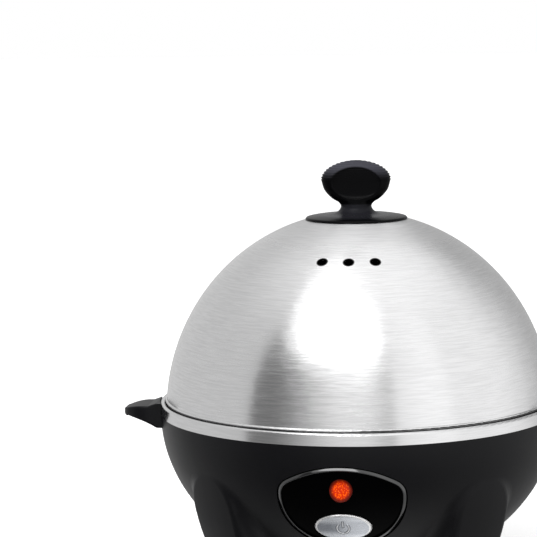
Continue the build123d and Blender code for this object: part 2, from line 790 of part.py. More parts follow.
with BuildPart() as fuse_strap:
    with BuildSketch(Plane.YZ):
        with Locations((fuse_y, heater_plate_bottom)):
            Rectangle(
                2 * (fuse_strap_half_inner + strap_sheet),
                2 * fuse_radius + 2 * seat_gap + strap_sheet,
                align=(Align.CENTER, Align.MAX),
            )
        with Locations((fuse_y, heater_plate_bottom)):
            Rectangle(
                fuse_strap_half_inner + strap_sheet + strap_foot, strap_sheet, align=(Align.MAX, Align.MAX)
            )
        with Locations((fuse_y, heater_plate_bottom)):
            Rectangle(
                2 * fuse_strap_half_inner,
                2 * fuse_radius + 2 * seat_gap,
                align=(Align.CENTER, Align.MAX),
                mode=Mode.SUBTRACT,
            )
    extrude(amount=strap_width / 2, both=True)
    with BuildSketch(Plane.XY.offset(heater_plate_bottom)):
        with Locations((0, fuse_screw_y)):
            Circle(screw_radius + screw_gap)
    extrude(amount=-strap_sheet, mode=Mode.SUBTRACT)
fuse_strap.part.label = "fuse_strap"
export_step(fuse_strap.part, "parts/fuse_strap.step")

with BuildPart() as strap_screws:
    for x, y in (*strap_screw_spots, (0, fuse_screw_y)):
        below = Plane(origin=(x, y, heater_plate_bottom - strap_sheet), z_dir=(0, 0, -1))
        add(screw(below, strap_sheet + plate_hole_depth - seat_gap))
strap_screws.part.label = "strap_screws"
export_step(strap_screws.part, "parts/strap_screws.step")

# Control panel: raised bezel and gloss fascia
with BuildPart() as panel_bezel:
    add(panel_layer(seat_gap, bezel_width, panel_recess, -bezel_rise))
panel_bezel.part.label = "panel_bezel"
export_step(panel_bezel.part, "parts/panel_bezel.step")

with BuildPart() as panel_fascia:
    add(panel_layer(bezel_width + seat_gap, 0, panel_recess, fascia_sink))
    with BuildSketch(Plane.XZ):
        with Locations((0, lens_height)):
            Circle(lens_radius + lens_gap)
        with Locations((0, button_height)):
            Ellipse(button_half_width + button_gap, button_half_height + button_gap)
    extrude(amount=bowl_radius, mode=Mode.SUBTRACT)
panel_fascia.part.label = "panel_fascia"
export_step(panel_fascia.part, "parts/panel_fascia.step")

# Indicator lens and the lamp behind it
with BuildPart() as indicator_lens:
    with BuildSketch(Plane.XZ.offset(lens_back)):
        with Locations((0, lens_height)):
            Circle(lens_radius)
    extrude(amount=bowl_radius - lens_back)
    add(bowl_form(-lens_rise, bowl_bottom, rim_height), mode=Mode.INTERSECT)
indicator_lens.part.label = "indicator_lens"
export_step(indicator_lens.part, "parts/indicator_lens.step")

with BuildPart() as indicator_lamp:
    with BuildSketch(Plane.XZ.offset(carrier_front)):
        with Locations((0, lens_height)):
            Circle(bulb_radius)
    extrude(amount=bulb_length)
    fillet(indicator_lamp.faces().sort_by(Axis.Y)[0].edges(), bulb_tip_round)
indicator_lamp.part.label = "indicator_lamp"
export_step(indicator_lamp.part, "parts/indicator_lamp.step")

# Power button: an oval cap with a retaining flange behind the fascia
with BuildPart() as power_button:
    with BuildSketch(Plane.XZ.offset(button_back)):
        with Locations((0, button_height)):
            Ellipse(button_half_width, button_half_height)
    extrude(amount=bowl_radius - button_back)
    add(bowl_form(-button_rise, bowl_bottom, rim_height), mode=Mode.INTERSECT)
    front_edges = power_button.edges().filter_by(lambda edge: edge.center().Y < -button_back - button_rise)
    fillet(front_edges, button_edge_radius)
    with BuildSketch(Plane.XZ.offset(button_back)):
        with Locations((0, button_height)):
            Ellipse(
                button_half_width + button_flange_overhang, button_half_height + button_flange_overhang
            )
    extrude(amount=-button_flange_thickness)
power_button.part.label = "power_button"
export_step(power_button.part, "parts/power_button.step")

# Carrier plate behind the panel, with the lamp's tube
with BuildPart() as control_carrier:
    with BuildSketch(Plane.XZ.offset(carrier_back)):
        with Locations((0, rim_height - carrier_top_drop)):
            Rectangle(
                2 * carrier_half_width,
                carrier_wing_bottom_drop - carrier_top_drop,
                align=(Align.CENTER, Align.MAX),
            )
            Rectangle(
                2 * carrier_stem_half_width,
                carrier_bottom_drop - carrier_top_drop,
                align=(Align.CENTER, Align.MAX),
            )
        with Locations((0, button_height)):
            Circle(plunger_radius + plunger_gap, mode=Mode.SUBTRACT)
        with Locations((-lamp_lead_x, lens_height), (lamp_lead_x, lens_height)):
            Circle(lamp_lead_radius + screw_gap, mode=Mode.SUBTRACT)
        with Locations((-carrier_boss_x, carrier_boss_height), (carrier_boss_x, carrier_boss_height)):
            Circle(screw_radius + screw_gap, mode=Mode.SUBTRACT)
    extrude(amount=carrier_thickness)
    with BuildSketch(Plane.XZ.offset(carrier_front)):
        with Locations((0, lens_height)):
            Circle(lamp_tube_radius)
            Circle(lamp_tube_bore, mode=Mode.SUBTRACT)
    extrude(amount=lens_back - carrier_front)
control_carrier.part.label = "control_carrier"
export_step(control_carrier.part, "parts/control_carrier.step")

with BuildPart() as carrier_screws:
    for x in (-carrier_boss_x, carrier_boss_x):
        behind = Plane(origin=(x, -carrier_back, carrier_boss_height), z_dir=(0, 1, 0))
        add(screw(behind, carrier_thickness + 2 * boss_radius - seat_gap))
carrier_screws.part.label = "carrier_screws"
export_step(carrier_screws.part, "parts/carrier_screws.step")

# Push switch behind the carrier, and the plunger that the button pushes
plunger_front = button_back - button_flange_thickness - seat_gap
plunger_back = carrier_back - plunger_depth
with BuildPart() as push_switch:
    with BuildSketch(Plane.XZ.offset(carrier_back)):
        with Locations((0, button_height)):
            Rectangle(switch_width, switch_height)
    extrude(amount=-switch_length)
    with BuildSketch(Plane.XZ.offset(carrier_back)):
        with Locations((0, button_height)):
            Circle(plunger_radius + plunger_gap)
    extrude(amount=-(plunger_depth + button_travel + plunger_stroke_room), mode=Mode.SUBTRACT)
    with BuildSketch(Plane.XZ.offset(carrier_back - switch_length)):
        with Locations((-switch_width / 4, button_height), (switch_width / 4, button_height)):
            Rectangle(blade_thickness, blade_width)
    extrude(amount=-blade_length)
push_switch.part.label = "push_switch"
export_step(push_switch.part, "parts/push_switch.step")

with BuildPart() as switch_plunger:
    with BuildSketch(Plane.XZ.offset(plunger_back)):
        with Locations((0, button_height)):
            Circle(plunger_radius)
    extrude(amount=plunger_front - plunger_back)
switch_plunger.part.label = "switch_plunger"
export_step(switch_plunger.part, "parts/switch_plunger.step")

# Cover underneath with its vent slots and screws
with BuildPart() as bottom_cover:
    with BuildSketch(Plane.XY.offset(bowl_bottom)):
        Circle(cover_radius - cover_gap)
        with cover_screw_spots:
            Circle(screw_radius + screw_gap, mode=Mode.SUBTRACT)
        with Locations((0, -cover_opening_radius / 2)):
            with GridLocations(cover_vent_pitch, 1, cover_vent_count, 1):
                SlotOverall(cover_vent_length, cover_vent_width, rotation=90, mode=Mode.SUBTRACT)
    extrude(amount=cover_thickness)
    with BuildSketch(Plane.XY.offset(bowl_bottom)):
        with cover_screw_spots:
            Circle(screw_head_radius + screw_gap)
    extrude(amount=cover_screw_sink, mode=Mode.SUBTRACT)
bottom_cover.part.label = "bottom_cover"
export_step(bottom_cover.part, "parts/bottom_cover.step")

with BuildPart() as cover_screws:
    for spot in cover_screw_spots:
        seat = bowl_bottom + cover_screw_sink
        below = Plane(origin=(spot.position.X, spot.position.Y, seat), z_dir=(0, 0, -1))
        add(screw(below, floor_lip - cover_screw_sink + boss_height - screw_radius * 2))
cover_screws.part.label = "cover_screws"
export_step(cover_screws.part, "parts/cover_screws.step")

# Terminal block on the cover
block_level = cover_top + block_height / 2
with BuildPart() as terminal_block:
    with BuildSketch(Plane.XY.offset(cover_top)):
        with Locations((0, block_y)):
            RectangleRounded(block_length, block_width, block_corner_radius)
    extrude(amount=block_height)
    with BuildSketch(Plane.XZ.offset(-block_y - block_width / 2)):
        with Locations((-block_pitch, block_level), (block_pitch, block_level)):
            Circle(lead_radius + screw_gap)
    extrude(amount=block_width, mode=Mode.SUBTRACT)
terminal_block.part.label = "terminal_block"
export_step(terminal_block.part, "parts/terminal_block.step")


def lead(points, radius):
    """A wire along points, with arcs as wide as the runs beside them allow."""
    spots = [Vector(*point) for point in points]
    bends = []
    for before, here, after in zip(spots, spots[1:], spots[2:]):
        turn = radians((here - before).get_angle(after - here))
        shorter = min((here - before).length, (after - here).length)
        bends.append(lead_bend_share * shorter / tan(turn / 2))
    with BuildPart() as wire:
        with BuildLine() as route:
            FilletPolyline(*spots, radius=bends)
        with BuildSketch(Plane(origin=spots[0], z_dir=spots[1] - spots[0])):
            Circle(radius)
        sweep(path=route.wires()[0])
    return wire.part


# Leads between the block, the switch, the fuse, the thermostat and the element
block_front = block_y - block_width / 2
switch_end = -(carrier_back - switch_length - blade_length)
thermostat_end = thermostat_bottom - blade_length
gap_half = radians(element_gap_angle / 2)
pin_end_x = element_ring_radius * sin(gap_half) - element_pin_length * cos(gap_half)
pin_end_y = element_ring_radius * cos(gap_half) + element_pin_length * sin(gap_half)
pin_out_x = pin_end_x - lead_out * cos(gap_half)
pin_out_y = pin_end_y + lead_out * sin(gap_half)
blade_x = switch_width / 4
# The points between the two ends of each wire were chosen to keep it clear of the parts beside it
routes = {
    "live_lead": [
        (-block_pitch, block_front + block_width / 3, block_level),
        (-block_pitch, -8, block_level),
        (-blade_x, -22, button_height),
        (-blade_x, switch_end, button_height),
    ],
    "switched_lead": [
        (blade_x, switch_end, button_height),
        (blade_x, switch_end + 7, button_height),
        (18, -27, 42),
        (fuse_length / 2 + 10, fuse_y, fuse_height),
        (fuse_length / 2, fuse_y, fuse_height),
    ],
    "fuse_lead": [
        (-fuse_length / 2, fuse_y, fuse_height),
        (-fuse_length / 2 - 8, fuse_y, fuse_height),
        (-18, -18, 40),
        (-9, -5, 32),
        (-thermostat_blade_x, 0, 33.5),
        (-thermostat_blade_x, 0, thermostat_end),
    ],
    "element_lead": [
        (thermostat_blade_x, 0, thermostat_end),
        (thermostat_blade_x, 0, 34.5),
        (3, 8, 32),
        (-2, 28, 34),
        (-4, 40, 43),
        (-pin_out_x, pin_out_y, element_height),
        (-pin_end_x, pin_end_y, element_height),
    ],
    "neutral_lead": [
        (pin_end_x, pin_end_y, element_height),
        (pin_out_x, pin_out_y, element_height),
        (6, 41, 44),
        (14, 38, 34),
        (21, 22, 26),
        (18, 5, block_level),
        (13, -1, block_level),
        (9, 1, block_level),
        (block_pitch, 7, block_level),
        (block_pitch, block_front + block_width / 3, block_level),
    ],
}
for name, points in routes.items():
    wire = lead(points, lead_radius)
    wire.label = name
    export_step(wire, f"parts/{name}.step")

lamp_lead_foot = button_height + blade_width / 2
with BuildPart() as lamp_leads:
    for side in (-1, 1):
        thin = [
            (side * lamp_lead_x, -carrier_front, lens_height),
            (side * lamp_lead_x, -carrier_back + 11, lens_height),
            (side * blade_x, switch_end - blade_length / 2, lens_height - 6),
            (side * blade_x, switch_end - blade_length / 2, lamp_lead_foot),
        ]
        add(lead(thin, lamp_lead_radius))
lamp_leads.part.label = "lamp_leads"
export_step(lamp_leads.part, "parts/lamp_leads.step")

# Rubber gland of the supply cord
with BuildPart() as cord_gland:
    with BuildSketch(gland_plane):
        Circle(gland_flange_radius)
    extrude(amount=gland_flange_thickness)
    fillet(cord_gland.faces().sort_by(Axis.Y)[-1].edges(), gland_edge_radius)
    with BuildSketch(gland_plane):
        Circle(gland_neck_radius)
    extrude(amount=-gland_pad_depth)
    with BuildSketch(gland_plane.offset(-gland_pad_depth)):
        Circle(gland_catch_radius)
    extrude(amount=-gland_catch_thickness)
    with BuildSketch(gland_plane.offset(gland_flange_thickness)):
        Circle(gland_bore_radius)
    extrude(
        amount=-(gland_flange_thickness + gland_pad_depth + gland_catch_thickness), mode=Mode.SUBTRACT
    )
cord_gland.part.label = "cord_gland"
export_step(cord_gland.part, "parts/cord_gland.step")

# Egg tray: a plate on the ledge with seven holes, a skirt and two finger tabs
tray_top = ledge_top + tray_thickness
egg_ring = PolarLocations(egg_ring_radius, egg_count_in_ring, start_angle=180 / egg_count_in_ring)
egg_spots = [(0, 0)] + [(spot.position.X, spot.position.Y) for spot in egg_ring]
with BuildPart() as egg_tray:
    with BuildSketch(Plane.XY.offset(ledge_top)):
        Circle(tray_radius)
    extrude(amount=tray_thickness)
    with BuildSketch(Plane.XY.offset(ledge_top)):
        Circle(ledge_inner_radius - tray_edge_gap)
        Circle(ledge_inner_radius - tray_edge_gap - tray_skirt_wall, mode=Mode.SUBTRACT)
    extrude(amount=-tray_skirt_depth)
    with BuildSketch(Plane.XY.offset(ledge_top)):
        with Locations(*egg_spots):
            Circle(egg_hole_radius + collar_wall)
    extrude(amount=-collar_depth)
    with BuildSketch(Plane.XY.offset(tray_top)):
        with Locations(*egg_spots):
            Circle(egg_hole_radius)
    extrude(amount=-(tray_thickness + collar_depth), mode=Mode.SUBTRACT)
    hole_edges = egg_tray.edges().filter_by(GeomType.CIRCLE).group_by(Axis.Z)[-1]
    chamfer(hole_edges.filter_by(lambda edge: abs(edge.radius - egg_hole_radius) < 0.01), egg_hole_bevel)
    with BuildSketch(Plane.XY.offset(ledge_top)):
        with PolarLocations(drain_ring_radius, egg_count_in_ring):
            Circle(drain_radius)
    extrude(amount=tray_thickness, mode=Mode.SUBTRACT)
    for side in (-1, 1):
        with BuildSketch(Plane.YZ.offset(side * tab_distance - tab_thickness / 2)) as tab:
            with Locations((0, tray_top)):
                Rectangle(tab_width, tab_height, align=(Align.CENTER, Align.MIN))
            fillet(tab.vertices().group_by(Axis.Z)[-1], tab_corner_radius)
            with Locations((0, tray_top + tab_height / 2)):
                Circle(tab_hole_radius, mode=Mode.SUBTRACT)
        extrude(amount=tab_thickness)
egg_tray.part.label = "egg_tray"
export_step(egg_tray.part, "parts/egg_tray.step")

# Dome lid with a rolled hem, a flat crown and the steam vents
crown_top = dome_height_at(crown_radius)
hem_height = rim_top + hem_rise
with BuildPart() as lid_shell:
    add(dome_form(0, crown_top))
    with BuildSketch(Plane.XZ):
        with Locations((lid_radius - hem_radius / 2, hem_height)):
            Circle(hem_radius)
    revolve(axis=Axis.Z)
    add(dome_form(sheet, crown_top - sheet), mode=Mode.SUBTRACT)
    with BuildSketch(Plane.XY.offset(crown_top)):
        Circle(knob_screw_radius + screw_gap)
    extrude(amount=-sheet, mode=Mode.SUBTRACT)
    for index in range(vent_count):
        azimuth = lid_turn + (index - (vent_count - 1) / 2) * vent_step - 90
        x = vent_ring_radius * cos(radians(azimuth))
        y = vent_ring_radius * sin(radians(azimuth))
        outward = (
            x / lid_radius ** 2,
            y / lid_radius ** 2,
            (dome_height_at(vent_ring_radius) - lid_centre) / lid_half_height ** 2,
        )
        with BuildSketch(Plane(origin=(x, y, dome_height_at(vent_ring_radius)), z_dir=outward)):
            Circle(vent_radius)
        extrude(amount=vent_cut_depth, both=True, mode=Mode.SUBTRACT)
lid_shell.part.label = "lid_shell"
export_step(lid_shell.part, "parts/lid_shell.step")

# Knob: domed plate, neck and an upright oval grip with a thumb dish in front
plate_low = dome_height_at(knob_plate_radius) + rim_side_gap
neck_foot = plate_low + knob_plate_rise
grip_middle = plate_low + knob_grip_rise
dish_face = knob_grip_thickness / 2
with BuildPart() as thumb_dish:
    with BuildSketch(Plane.XZ.offset(dish_face)):
        with Locations((0, grip_middle)):
            Ellipse(knob_dish_half_width, knob_dish_half_height)
    with BuildSketch(Plane.XZ.offset(dish_face - knob_dish_depth)):
        with Locations((0, grip_middle)):
            Ellipse(
                knob_dish_half_width - knob_dish_floor_inset, knob_dish_half_height - knob_dish_floor_inset
            )
    loft()

with BuildPart() as knob_grip:
    with BuildSketch(Plane.XZ.offset(-dish_face)):
        with Locations((0, grip_middle)):
            Ellipse(knob_grip_half_width, knob_grip_half_height)
    extrude(amount=knob_grip_thickness)
    outlines = knob_grip.edges().filter_by(lambda edge: edge.length > knob_grip_half_width * 2)
    fillet(outlines, knob_grip_round)
    add(thumb_dish.part, mode=Mode.SUBTRACT)

with BuildPart() as knob_form:
    with BuildSketch(Plane.XZ):
        with BuildLine():
            rim_edge = TangentArc(
                (knob_plate_radius, plate_low),
                (knob_plate_radius - knob_plate_round, plate_low + knob_plate_edge),
                tangent=(0, 1),
            )
            neck_bottom = (knob_neck_radius + knob_neck_blend, neck_foot)
            top = TangentArc(rim_edge @ 1, neck_bottom, tangent=(-1, knob_plate_slope))
            blend = TangentArc(top @ 1, (knob_neck_radius, neck_foot + knob_neck_blend), tangent=top % 1)
            Polyline(
                blend @ 1,
                (knob_neck_radius, grip_middle),
                (0, grip_middle),
                (0, crown_top),
                (crown_radius, crown_top),
                (knob_plate_radius - knob_plate_round, plate_low),
                (knob_plate_radius, plate_low),
            )
        make_face()
    revolve(axis=Axis.Z)
    add(knob_grip.part)
    add(dome_form(-seat_gap, crown_top), mode=Mode.SUBTRACT)
    with BuildSketch(Plane.XY.offset(crown_top)):
        Circle(knob_screw_radius + screw_gap)
    extrude(amount=knob_screw_reach, mode=Mode.SUBTRACT)
lid_knob = Rot(0, 0, knob_turn) * knob_form.part
lid_knob.label = "lid_knob"
export_step(lid_knob, "parts/lid_knob.step")

# Washer and screw that hold the knob from inside the lid
with BuildPart() as knob_washer:
    with BuildSketch(Plane.XY.offset(crown_top - sheet)):
        Circle(knob_washer_radius)
        Circle(knob_screw_radius + screw_gap, mode=Mode.SUBTRACT)
    extrude(amount=-knob_washer_thickness)
knob_washer.part.label = "knob_washer"
export_step(knob_washer.part, "parts/knob_washer.step")

with BuildPart() as knob_screw:
    inside = Plane(origin=(0, 0, crown_top - sheet - knob_washer_thickness), z_dir=(0, 0, -1))
    reach = sheet + knob_washer_thickness + knob_screw_reach - seat_gap
    add(screw(inside, reach, shank=knob_screw_radius, head=knob_screw_head_radius))
knob_screw.part.label = "knob_screw"
export_step(knob_screw.part, "parts/knob_screw.step")
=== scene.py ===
from math import cos, pi, radians, sin, sqrt

import bmesh
import bpy
from mathutils import Matrix, Vector


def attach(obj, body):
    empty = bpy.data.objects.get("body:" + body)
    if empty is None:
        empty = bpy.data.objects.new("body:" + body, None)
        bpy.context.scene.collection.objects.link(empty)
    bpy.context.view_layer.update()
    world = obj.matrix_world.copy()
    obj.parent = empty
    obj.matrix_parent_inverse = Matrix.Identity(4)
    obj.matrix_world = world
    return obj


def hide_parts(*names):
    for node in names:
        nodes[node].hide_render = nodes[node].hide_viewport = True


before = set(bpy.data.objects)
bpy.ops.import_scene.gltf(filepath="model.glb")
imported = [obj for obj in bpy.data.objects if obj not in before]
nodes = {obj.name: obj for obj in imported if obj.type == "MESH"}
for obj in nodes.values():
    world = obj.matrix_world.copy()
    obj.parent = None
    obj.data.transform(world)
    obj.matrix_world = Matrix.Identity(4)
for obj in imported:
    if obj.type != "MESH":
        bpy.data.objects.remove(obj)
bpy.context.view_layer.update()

# Driving sizes of the bowl, lid and knob, in metres, as the CAD has them
RIM_HEIGHT = 0.072
BOWL_RADIUS = 0.088
BOWL_DEPTH = 0.0725
RIM_TOP = 0.0772
LID_RADIUS = 0.0855
LID_HALF_HEIGHT = 0.0886
LID_CENTRE = 0.07114
CROWN_RADIUS = 0.0075
KNOB_TURN = 6.0
LID_TURN = 1.2
MM = 0.001


class Nodes:
    """Small helpers for building a node tree."""

    def __init__(self, tree):
        self.tree = tree

    def new(self, kind, **settings):
        node = self.tree.nodes.new(kind)
        for name, value in settings.items():
            setattr(node, name, value)
        return node

    def feed(self, socket, value):
        if isinstance(value, (int, float, tuple)):
            socket.default_value = value
        else:
            self.tree.links.new(value, socket)

    def math(self, operation, *values):
        node = self.new("ShaderNodeMath", operation=operation)
        for socket, value in zip(node.inputs, values):
            self.feed(socket, value)
        return node.outputs[0]

    def add(self, first, second):
        return self.math("ADD", first, second)

    def times(self, first, second):
        return self.math("MULTIPLY", first, second)

    def length(self, across, up):
        """Length of the arm that reaches so far across and so far up."""
        return self.math("SQRT", self.add(self.times(across, across), self.times(up, up)))

    def step(self, value, low, high, at_low=0.0, at_high=1.0):
        """Smooth step of a value from at_low to at_high between low and high."""
        node = self.new("ShaderNodeMapRange", interpolation_type="SMOOTHSTEP")
        for socket, number in zip(node.inputs, (value, low, high, at_low, at_high)):
            self.feed(socket, number)
        return node.outputs[0]

    def window(self, value, low, high, soft_low, soft_high):
        """1 between low and high, falling to 0 over the soft widths outside them."""
        rise = self.step(value, low - soft_low, low)
        fall = self.step(value, high, high + soft_high, 1.0, 0.0)
        return self.times(rise, fall)

    def mix(self, factor, first, second):
        """Number between first and second."""
        node = self.new("ShaderNodeMix", data_type="FLOAT")
        self.feed(node.inputs[0], factor)
        self.feed(node.inputs[2], first)
        self.feed(node.inputs[3], second)
        return node.outputs[0]

    def dot(self, vector, direction):
        node = self.new("ShaderNodeVectorMath", operation="DOT_PRODUCT")
        self.feed(node.inputs[0], vector)
        self.feed(node.inputs[1], direction)
        return node.outputs["Value"]


def principled(name, color, rough, metallic=0.0, level=0.5, coat=0.0, coat_rough=0.1, anisotropic=0.0):
    """A new material with a Principled shader; returns the material, its node helper and the shader."""
    material = bpy.data.materials.new(name)
    material.use_nodes = True
    build = Nodes(material.node_tree)
    shader = material.node_tree.nodes["Principled BSDF"]
    shader.inputs["Base Color"].default_value = (*color, 1.0)
    shader.inputs["Roughness"].default_value = rough
    shader.inputs["Metallic"].default_value = metallic
    shader.inputs["Specular IOR Level"].default_value = level
    shader.inputs["Coat Weight"].default_value = coat
    shader.inputs["Coat Roughness"].default_value = coat_rough
    shader.inputs["Anisotropic"].default_value = anisotropic
    return material, build, shader


def reopened(material):
    """Node helper and shader of a material that is worked on again."""
    return Nodes(material.node_tree), material.node_tree.nodes["Principled BSDF"]


def set_material(name, material):
    """Gives a CAD node the material in every slot."""
    mesh = nodes[name].data
    mesh.materials.clear()
    mesh.materials.append(material)


# Camera at the photograph's place, floor and lamp, in metres
CAMERA_PLACE = (0.09996, -1.07757, 0.26911)
CAMERA_TURN = radians(5.3)
CAMERA_FORWARD = Vector((-0.03583841, 0.99178099, -0.12282536))
CAMERA_UP = Vector((0.01217378, 0.12332846, 0.99229123))
PHOTO_WIDTH = 537
FOCAL_PIXELS = 2467.161
SENSOR_WIDTH = 36.0
FLOOR_SIZE = 12.0
FLOOR_COLOR = (0.85, 0.85, 0.85)
FLOOR_GLOW = 0.62
LAMP_WIDTH = 0.8
LAMP_DEPTH = 0.6
LAMP_POWER = 16.0
LAMP_PLACE = (-0.35, -0.75, 1.25)
LAMP_TARGET = Vector((0, 0, 0.08))

camera_data = bpy.data.cameras.new("camera")
camera_data.sensor_width = SENSOR_WIDTH
camera_data.lens = FOCAL_PIXELS / PHOTO_WIDTH * SENSOR_WIDTH
camera_data.clip_start = 0.05
camera_data.clip_end = 50.0
camera = bpy.data.objects.new("camera", camera_data)
bpy.context.scene.collection.objects.link(camera)
turn = Matrix.Rotation(CAMERA_TURN, 3, "Z")
forward = turn @ CAMERA_FORWARD
upward = turn @ CAMERA_UP
sideways = forward.cross(upward)
camera.matrix_world = Matrix.Translation(CAMERA_PLACE) @ Matrix(
    (sideways, upward, -forward)
).transposed().to_4x4()
bpy.context.scene.camera = camera
bpy.context.scene.view_settings.view_transform = "Standard"

# Floor, which only the camera and the diffuse light see: what the gloss sees below is part of the studio
bpy.ops.mesh.primitive_plane_add(size=FLOOR_SIZE, location=(0, 0, 0))
floor = bpy.context.object
floor.name = "floor"
floor.visible_glossy = False
floor_material, build, shader = principled("floor", FLOOR_COLOR, 0.9)
shader.inputs["Emission Color"].default_value = (1, 1, 1, 1)
seen = build.new("ShaderNodeLightPath").outputs["Is Camera Ray"]
build.feed(shader.inputs["Emission Strength"], build.times(seen, FLOOR_GLOW))
floor.data.materials.append(floor_material)

# Lamp in the softbox's place for the diffuse light and the shadow
lamp_data = bpy.data.lights.new("softbox", "AREA")
lamp_data.shape = "RECTANGLE"
lamp_data.size = LAMP_WIDTH
lamp_data.size_y = LAMP_DEPTH
lamp_data.energy = LAMP_POWER
lamp = bpy.data.objects.new("softbox", lamp_data)
bpy.context.scene.collection.objects.link(lamp)
lamp.location = LAMP_PLACE
lamp.rotation_mode = "QUATERNION"
lamp.rotation_quaternion = (LAMP_TARGET - lamp.location).to_track_quat("-Z", "Y")
lamp.visible_glossy = False

# Studio that the metal and the gloss reflect, by direction: brightnesses, and edges in degrees of azimuth
# from the front towards +X and of elevation. The background that the camera sees is white.
WALL_LEFT = 0.63
WALL_RIGHT = 1.02
PANEL_FRONT = 0.93
CARD = 0.21
CEILING = 1.13
SOFTBOX = 1.4
SOFTBOX_RIGHT = 25
SOFTBOX_BACK = -15
SOFTBOX_LEFT_NORMAL = (0.761, -0.565, 0.319)
SOFTBOX_LOW_EDGE = (35, 39)
# These three edges and FLOOR_LEFT_EDGE are parts of a unit direction instead of degrees
SOFTBOX_LEFT_EDGE = (0.0, 0.04)
SOFTBOX_RIGHT_EDGE = (0.0, 0.03)
SOFTBOX_BACK_EDGE = (-0.32, -0.2)
HOT_AZIMUTHS = (-40.0, 17.0)
HOT_ELEVATIONS = (44.0, 58.0)
HOT_STRENGTH = 3.2
HOT_SIDE_BLUR = 5.0
HOT_LOW_BLUR = 3.0
HOT_HIGH_BLUR = 4.0
LEFT_WALL_RISE = (28, 80)
BACK_FADE = (92, 158)
BACK_DARK = 0.46
BACK_DARK_ABOVE = 0.82
BACK_RISE = (30, 56)
RIGHT_PANEL_EDGE = (61, 64)
RIGHT_PANEL_FADE = (26, 52)
RIGHT_PANEL_GAIN = 1.13
RIGHT_WALL_RISE = (42, 68)
CARD_FADE = (-48, 2)
STRIP_FADE = (9, 23)
STRIP = 0.70
FRONT_RISE = (34, 50)
LEFT_CORNER = (-63, -60)
RIGHT_CORNER = (25.5, 27.5)
FLOOR_FRONT = 0.20
FLOOR_SIDE = 0.50
FLOOR_NEAR = 0.95
FLOOR_NEAR_LEFT = 0.45 * FLOOR_NEAR
FLOOR_RIGHT_FADE = (30, 75)
FLOOR_LEFT_FADE = (-105, -50)
FLOOR_NEAR_EDGE = (-78, -44)
FLOOR_LEFT_EDGE = (-0.16, 0.02)
FLOOR_HORIZON = (-34, -13)
AMBIENT = 0.55


def heading(azimuth):
    """Level direction at an azimuth in degrees, counted from the front towards +X."""
    return (sin(radians(azimuth)), -cos(radians(azimuth)), 0.0)


world = bpy.data.worlds.new("studio")
bpy.context.scene.world = world
world.use_nodes = True
sky = Nodes(world.node_tree)
background = world.node_tree.nodes["Background"]
direction = sky.new("ShaderNodeTexCoord").outputs["Generated"]
parts = sky.new("ShaderNodeSeparateXYZ")
sky.feed(parts.inputs[0], direction)
to_right, to_back, to_top = parts.outputs
azimuth = sky.math("DEGREES", sky.math("ARCTAN2", to_right, sky.times(to_back, -1.0)))
elevation = sky.math("DEGREES", sky.math("ARCSINE", to_top))

# Walls: a darker one on the left, and one on the right in two panels that darkens towards the back
left_wall = sky.step(elevation, *LEFT_WALL_RISE, WALL_LEFT, 1.0)
behind = sky.step(azimuth, *BACK_FADE, 1.0, BACK_DARK)
behind_above = sky.step(azimuth, *BACK_FADE, 1.0, BACK_DARK_ABOVE)
behind = sky.mix(sky.step(elevation, *BACK_RISE), behind, behind_above)
right_wall = sky.step(azimuth, *RIGHT_PANEL_FADE, WALL_RIGHT, WALL_RIGHT * RIGHT_PANEL_GAIN)
right_wall = sky.mix(sky.step(azimuth, *RIGHT_PANEL_EDGE), right_wall, sky.times(behind, WALL_RIGHT))
right_wall = sky.mix(sky.step(elevation, *RIGHT_WALL_RISE), right_wall, CEILING)

# The front: a card on the left of the camera that fades to its right, and a grey strip by the right wall
front = sky.times(sky.step(azimuth, *CARD_FADE, CARD, 1.0), sky.step(azimuth, *STRIP_FADE, 1.0, STRIP))
front = sky.times(sky.mix(sky.step(elevation, *FRONT_RISE), front, 1.0), PANEL_FRONT)
walls = sky.mix(sky.step(azimuth, *LEFT_CORNER), left_wall, front)
walls = sky.mix(sky.step(azimuth, *RIGHT_CORNER), walls, right_wall)

# Softbox overhead, towards the front, with its hot middle
soft_left = sky.step(sky.dot(direction, SOFTBOX_LEFT_NORMAL), *SOFTBOX_LEFT_EDGE)
soft_right = sky.step(sky.dot(direction, heading(SOFTBOX_RIGHT - 90)), *SOFTBOX_RIGHT_EDGE)
soft_low = sky.step(elevation, *SOFTBOX_LOW_EDGE)
soft_back = sky.step(sky.dot(direction, heading(SOFTBOX_BACK)), *SOFTBOX_BACK_EDGE)
softbox = sky.times(sky.times(soft_left, soft_right), sky.times(soft_low, soft_back))
glow = sky.mix(softbox, walls, SOFTBOX)
hot_across = sky.window(azimuth, *HOT_AZIMUTHS, HOT_SIDE_BLUR, HOT_SIDE_BLUR)
hot_up = sky.window(elevation, *HOT_ELEVATIONS, HOT_LOW_BLUR, HOT_HIGH_BLUR)
glow = sky.add(glow, sky.times(sky.times(hot_across, hot_up), HOT_STRENGTH))

# Floor as the gloss sees it: pale near the feet, darker in front and on the left
floor_right = sky.step(azimuth, *FLOOR_RIGHT_FADE, FLOOR_FRONT, FLOOR_SIDE)
floor_left = sky.step(azimuth, *FLOOR_LEFT_FADE, FLOOR_SIDE, FLOOR_FRONT)
floor_far = sky.math("MAXIMUM", floor_right, floor_left)
floor_near = sky.step(to_right, *FLOOR_LEFT_EDGE, FLOOR_NEAR_LEFT, FLOOR_NEAR)
floor_tone = sky.step(elevation, *FLOOR_NEAR_EDGE, floor_near, floor_far)
glow = sky.mix(sky.step(elevation, *FLOOR_HORIZON), floor_tone, glow)

